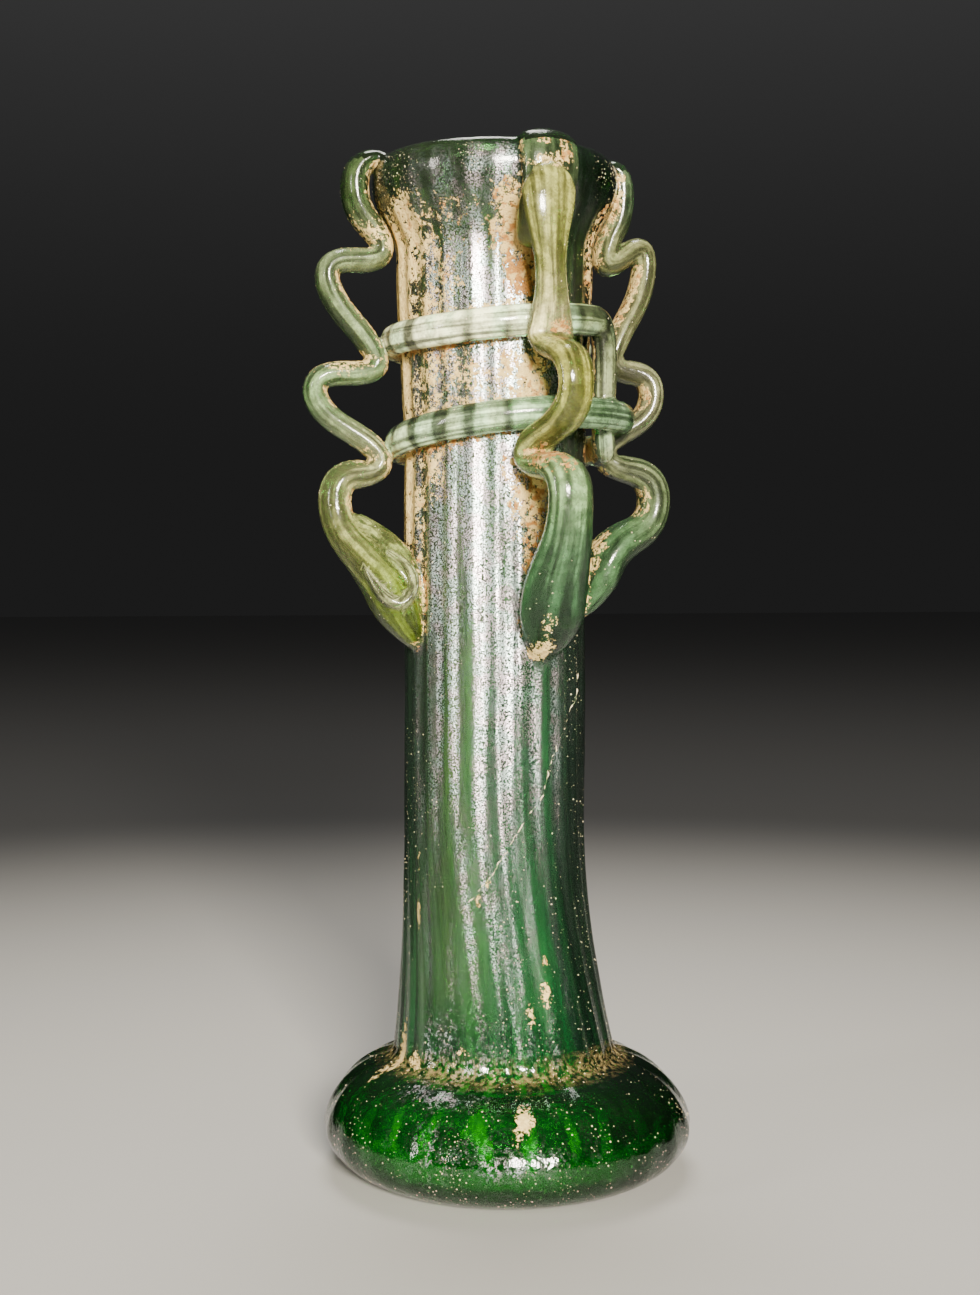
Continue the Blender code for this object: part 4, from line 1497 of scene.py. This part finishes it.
def lay_crust(material):
    """Lift a copy of the glass surface where there is soil or dust."""
    bm = surface_copy()
    bm.normal_update()
    of_rod, amount, warmth, dusty = new_layers(bm, "soil", "warmth", "dusty")
    for v in bm.verts:
        v[amount], v[warmth] = soil_at(v.co, v.normal, v[of_rod])
        v[dusty] = math.exp(-((from_crease(v.co) / DUST_REACH) ** 2))
    cut_away(bm, lambda face: max(max(v[amount], v[dusty]) for v in face.verts) < LEAST_SOIL)
    for v in bm.verts:
        v.co += v.normal * (CRUST_GAP + CRUST_THICKNESS * smooth_share(v[amount], *CRUST_FULL))
    return keep_bmesh(bm, "lime_crust", material)


lime = bpy.data.materials.new("lime_and_clay")
crust = lay_crust(lime)
print("crust:", len(crust.data.polygons), "faces,", round(time.time() - started, 1), "s")

# %% Crust material
BARE_SHARE = 0.45
SOIL_GAIN = 1.3
CRUMBS = ((230.0, 1.1), (620.0, 1.3), (1500.0, 1.9))
PALE_LIME = ((0.60, 0.42, 0.15, 1.0), (0.92, 0.72, 0.29, 1.0))
CLAY = ((0.20, 0.07, 0.012, 1.0), (0.52, 0.25, 0.055, 1.0))
tree, shader, output = new_material(lime)
amount = kept(tree, "soil")
grit = even_noise(tree, 4800.0, 2.0)
edge = maths(tree, "MULTIPLY_ADD", amount, SOIL_GAIN, -BARE_SHARE)
edge = maths(tree, "ADD", edge, eased(tree, amount, 0.05, 0.26, -0.45, 0.0))
for scale, gain in CRUMBS:
    crumbs = maths(tree, "SUBTRACT", even_noise(tree, scale, 2.0), 0.5)
    edge = maths(tree, "MULTIPLY_ADD", crumbs, gain, edge)
edge = maths(tree, "MULTIPLY_ADD", maths(tree, "SUBTRACT", grit, 0.5), 1.5, edge)
dust = eased(tree, even_noise(tree, 1500.0, 5.0), 0.40, 0.70, 0.0, 0.34)
veil = times(tree, kept(tree, "dusty"), dust)
mottle = eased(tree, even_noise(tree, 900.0, 4.0), 0.35, 0.65)
warm = maths(tree, "ADD", kept(tree, "warmth"), maths(tree, "SUBTRACT", mottle, 0.6))
pale = mixed(tree, mottle, *PALE_LIME)
clay = mixed(tree, grit, *CLAY)
looks = {
    "Alpha": maths(tree, "MAXIMUM", eased(tree, edge, -0.03, 0.13, 0.0, 0.96), veil),
    "Base Color": mixed(tree, eased(tree, warm, 0.1, 0.9), pale, clay),
    "Roughness": 0.92,
    "Normal": bumps(tree, 0.8, 0.00018, edge),
}
wire(tree, shader, looks)
print("the crust has", len(tree.nodes), "nodes")

# %% [markdown]
# The specks
#
# Thousands of grains of lime are left all over the jar. They are scattered over the glass by Geometry Nodes
# with a fixed seed: each is a low icosphere of 20 faces, flattened and turned at random. The density comes
# from an attribute, so that the grains are thick on the lip and the foot, thinner up the tube and thinnest
# on the handles.


# %% The speck tree
def speck_tree():
    """Scatter flattened grains over a mesh, as thickly as its attribute says."""
    inputs = [("Grains per area", "Float"), ("Smallest", "Float"), ("Largest", "Float"), ("Seed", "Int")]
    tree, given = new_tree("scatter_specks", inputs + [("Lime", "Material")])
    dense = put(tree, "GeometryNodeInputNamedAttribute", {"Name": "speckled"}).outputs[0]
    density = times(tree, dense, given["Grains per area"])
    sockets = {"Mesh": given["Geometry"], "Density": density, "Seed": given["Seed"]}
    spots = put(tree, "GeometryNodeDistributePointsOnFaces", sockets)
    grain = put(tree, "GeometryNodeMeshIcoSphere", {"Radius": 1.0, "Subdivisions": 1}).outputs[0]
    dice = put(tree, "FunctionNodeRandomValue", {2: 0.0, 3: 1.0, "Seed": given["Seed"]}).outputs[1]
    span = maths(tree, "SUBTRACT", given["Largest"], given["Smallest"])
    size = maths(tree, "MULTIPLY_ADD", maths(tree, "POWER", dice, 3.0), span, given["Smallest"])
    more = {0: (0.7, 0.7, 0.2), 1: (1.3, 1.3, 0.45), "Seed": 5}
    shape = put(tree, "FunctionNodeRandomValue", more, data_type="FLOAT_VECTOR").outputs[0]
    scale = along(tree, "MULTIPLY", shape, size)
    placed = {"Points": spots.outputs[0], "Instance": grain, "Rotation": spots.outputs[2], "Scale": scale}
    grains = put(tree, "GeometryNodeInstanceOnPoints", placed).outputs[0]
    end_tree(tree, grains, given["Lime"])
    return tree


specks_by_nodes = speck_tree()
print("the speck tree has", len(specks_by_nodes.nodes), "nodes")

# %% Scatter the specks
SPECK_PATCH = 0.0035
SPECK_PATCH_LONG = 6.0
LIP_SPECKS = 2.2
ROD_SPECKS = 0.6


def speck_ground():
    """The outer faces of the glass, with how thickly each is speckled."""
    bm = surface_copy()
    of_rod, dense = new_layers(bm, "speckled")
    for v in bm.verts:
        drawn = Vector((v.co.x, v.co.y, v.co.z / SPECK_PATCH_LONG)) / SPECK_PATCH
        patches = max(0.0, noise.noise(drawn) + 0.2) * 1.4
        low = 1.0 - 0.45 * smooth_share(v.co.z, 0.02, 0.08)
        lip = LIP_SPECKS * smooth_share(v.co.z, *LIP_FROM)
        v[dense] = patches * (low + lip) * (1.0 - ROD_SPECKS * v[of_rod] * (1.0 - min(1.0, lip)))
    return keep_bmesh(bm, "lime_specks")


specks = speck_ground()
speck_lime = bpy.data.materials.new("speck_lime")
speck_values = {
    "Grains per area": 1250000.0,
    "Smallest": 0.00004,
    "Largest": 0.00013,
    "Seed": 11,
    "Lime": speck_lime,
}
run_tree(specks, specks_by_nodes, speck_values)
tree, shader, output = new_material(speck_lime)
tone = mixed(tree, even_noise(tree, 900.0), (0.52, 0.38, 0.20, 1.0), (0.84, 0.76, 0.56, 1.0))
wire(tree, shader, {"Base Color": tone, "Roughness": 0.9})
print("specks:", len(specks.data.polygons) // 20, round(time.time() - started, 1), "s")

# %% [markdown]
# The crack
#
# A crack starts at the right, beneath the handles, and runs down across the front to the left, and soil has
# filled it. It follows a path over the wall, so Geometry Nodes sweep a thread along it: the points are picked
# by angle and height, the tree resamples the line, shakes it a little and gives it an uneven thickness.

# %% Line of the crack
CRACK_ROUTE = (
    # angle and height along the crack
    (56.0, 0.0718), (44.0, 0.0672), (34.0, 0.0640), (27.4, 0.0616), (19.0, 0.0574), (13.0, 0.0537),
    (4.0, 0.0514), (-4.0, 0.0487), (-13.0, 0.0455), (-20.4, 0.0429), (-29.0, 0.0410), (-36.4, 0.0384),
)


def wall_point(angle, height):
    """The point of the ribbed wall at an angle and a height."""
    start = around(wall_radius(height) - TUBE_WALL / 2, height, angle)
    outward = (around(1.0, height, angle) - around(0.0, height, angle)).normalized()
    return wall_faces.ray_cast(start, outward)[0]


def crack_line():
    """The route of the crack as a line of edges on the wall."""
    points = []
    for (a, low), (b, high) in zip(CRACK_ROUTE, CRACK_ROUTE[1:]):
        for share in between(0.0, 1.0, 8):
            points.append(wall_point(a + (b - a) * share, low + (high - low) * share))
    mesh = bpy.data.meshes.new("soil_filled_crack")
    mesh.from_pydata(points, [(i, i + 1) for i in range(len(points) - 1)], [])
    return place_piece(mesh)


crack = crack_line()
print("the crack follows", len(crack.data.vertices), "points")


# %% Lay the crack
def crack_tree():
    """Sweep a thin, uneven thread along a line."""
    inputs = [("Half thickness", "Float"), ("Step", "Float"), ("Shake", "Float"), ("Lime", "Material")]
    tree, given = new_tree("sweep_crack", inputs)
    line = put(tree, "GeometryNodeMeshToCurve", {"Mesh": given["Geometry"]}).outputs[0]
    sockets = {"Curve": line, "Length": given["Step"]}
    even = put(tree, "GeometryNodeResampleCurve", sockets, mode="LENGTH").outputs[0]
    wander = put(tree, "ShaderNodeTexNoise", {"Scale": 1100.0, "Detail": 2.0}).outputs["Color"]
    shake = along(tree, "MULTIPLY", along(tree, "SUBTRACT", wander, (0.5, 0.5, 0.5)), given["Shake"])
    moved = put(tree, "GeometryNodeSetPosition", {"Geometry": even, "Offset": shake}).outputs[0]
    thick = put(tree, "ShaderNodeTexNoise", {"Scale": 900.0, "Detail": 2.0}).outputs[0]
    radius = times(tree, eased(tree, thick, 0.42, 0.62, 0.0, 2.0), given["Half thickness"])
    profile = put(tree, "GeometryNodeCurvePrimitiveCircle", {"Resolution": 6, "Radius": 1.0}).outputs[0]
    sockets = {"Curve": moved, "Profile Curve": profile, "Scale": radius, "Fill Caps": True}
    end_tree(tree, put(tree, "GeometryNodeCurveToMesh", sockets).outputs[0], given["Lime"])
    return tree


crack_values = {"Half thickness": 0.00005, "Step": 0.0002, "Shake": 0.0009, "Lime": speck_lime}
run_tree(crack, crack_tree(), crack_values)
print("crack:", len(crack.data.polygons), "faces")

# %% [markdown]
# Handing the pieces over
#
# What was lifted off the glass may stick out of the imported jar by a hair, so it is held inside the jar's
# box. The jar is one body, so every piece rides on it and stands for its one node.

# %% Hold the outer pieces inside the box
for piece in (bloom, rod_skin, crust, specks, crack):
    for vertex in piece.data.vertices:
        vertex.co = [min(max(value, low), high) for value, low, high in zip(vertex.co, *cad_box)]
print("top of the crust:", round(max(vertex.co.z for vertex in crust.data.vertices) / MM, 2), "mm")

# %% Hand the pieces over
for piece in (glass, lining, bloom, rod_skin, crust, specks, crack):
    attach(piece, "root")
    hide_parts("jar")
print("pieces:", ", ".join(piece.name for piece in (glass, lining, bloom, rod_skin, crust, specks, crack)))

# %% [markdown]
# The floor
#
# The jar stands on a pale floor and throws a soft shadow on it. The floor's colour darkens with the distance,
# a painted pool of light around the jar, so that the background stays dark. A backdrop that curves up behind
# the jar would do it too, but a plane is enough. It is stage only and isn't part of the jar.

# %% The floor
FLOOR_REACH = 4.0
FLOOR_LEVEL = -0.00002
bm = bmesh.new()
bmesh.ops.create_grid(bm, x_segments=1, y_segments=1, size=FLOOR_REACH)
floor = finish_mesh(bm, "studio_floor")
for vertex in floor.data.vertices:
    vertex.co.z = FLOOR_LEVEL
floor_look = bpy.data.materials.new("pale_floor")
tree, shader, output = new_material(floor_look)
# The floor's colour darkens away from the jar: a painted pool of light.
far = eased(tree, along(tree, "LENGTH", place_on(tree)), 0.05, 0.40)
tone = mixed(tree, far, (0.40, 0.39, 0.37, 1.0), (0.02, 0.02, 0.02, 1.0))
wire(tree, shader, {"Base Color": tone, "Roughness": 0.7})
floor.data.materials.append(floor_look)
print("the floor is", FLOOR_REACH * 2, "m wide")

# %% [markdown]
# The camera
#
# The camera sees the jar as the photo does: from a little to the left, level with the drops of the handles
# and about a quarter of a metre away, which is why the ring of the foot looks as open as it does. Its focal
# length and distance come from rows and columns measured in the photo. A shift, instead of a tilt, keeps the
# tube upright.

# %% Camera
PIXEL = 0.1447 * MM
FOCAL_PIXELS = 1804.0
IMAGE_HEIGHT = 1295.0
VIEW_SIDE = math.radians(-16.0)
EYE_ROWS = 582.0
EYE_COLUMNS = -18.0
SHIFT_ROWS = -67.5
back = Vector((math.sin(VIEW_SIDE), -math.cos(VIEW_SIDE), 0.0))
right = Vector((math.cos(VIEW_SIDE), math.sin(VIEW_SIDE), 0.0))
camera_data = bpy.data.cameras.new("camera")
camera_data.sensor_width = 36.0
camera_data.lens = FOCAL_PIXELS / IMAGE_HEIGHT * camera_data.sensor_width
camera_data.shift_y = SHIFT_ROWS / IMAGE_HEIGHT
camera_data.clip_start = 0.01
camera = bpy.data.objects.new("camera", camera_data)
eye_level = Vector((0.0, 0.0, EYE_ROWS * PIXEL))
camera.location = back * FOCAL_PIXELS * PIXEL + right * EYE_COLUMNS * PIXEL + eye_level
camera.rotation_euler = (-back).to_track_quat("-Z", "Y").to_euler()
bpy.context.scene.collection.objects.link(camera)
bpy.context.scene.camera = camera
print("the camera is", round(camera.location.length, 3), "m away")

# %% [markdown]
# The lights
#
# Three softboxes light the jar. A warm key in front puts the pale streak on the tube and wakes the crust, a
# narrow one at the left draws the edge there, and a large one above and behind shines through the glass and
# catches the lip and the folds. The world gives a weak glow from above, so that the back isn't black.


# %% Lights
def softbox(name, side, up, distance, width, height, power, colour):
    """A lamp at a side angle and an angle above the floor, looking at the middle of the jar."""
    s = math.radians(side)
    u = math.radians(up)
    target = Vector((0.0, 0.0, RIM_HEIGHT / 2))
    data = bpy.data.lights.new(name, "AREA")
    data.shape = "RECTANGLE"
    data.size = width
    data.size_y = height
    data.energy = power
    data.color = colour
    lamp = bpy.data.objects.new(name, data)
    towards = Vector((math.sin(s) * math.cos(u), -math.cos(s) * math.cos(u), math.sin(u)))
    lamp.location = target + towards * distance
    lamp.rotation_euler = (target - lamp.location).to_track_quat("-Z", "Y").to_euler()
    bpy.context.scene.collection.objects.link(lamp)


# side, angle up, distance, width, height, power and colour
softbox("key_softbox", -6.0, 15.0, 1.0, 0.22, 0.16, 44.0, (1.0, 0.93, 0.80))
softbox("left_softbox", -74.0, 14.0, 1.0, 0.10, 0.30, 3.0, (1.0, 0.95, 0.86))
softbox("top_softbox", 168.0, 72.0, 1.1, 0.5, 0.5, 11.0, (1.0, 0.97, 0.92))
world = bpy.data.worlds.new("studio")
world.use_nodes = True
tree = world.node_tree
up = split(tree, put(tree, "ShaderNodeTexCoord").outputs["Generated"])[2]
glow = eased(tree, up, 0.05, 0.9, 0.015, 0.13)
wire(tree, tree.nodes["Background"], {"Strength": glow, "Color": (1.0, 1.0, 1.0, 1.0)})
bpy.context.scene.world = world
print("lights:", len(bpy.data.lights), "and the world")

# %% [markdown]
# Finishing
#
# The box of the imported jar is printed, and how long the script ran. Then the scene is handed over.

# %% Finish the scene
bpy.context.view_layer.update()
print("CAD box   ", [[round(v, 4) for v in corner] for corner in cad_box])
print("script ran", round(time.time() - started, 1), "s")
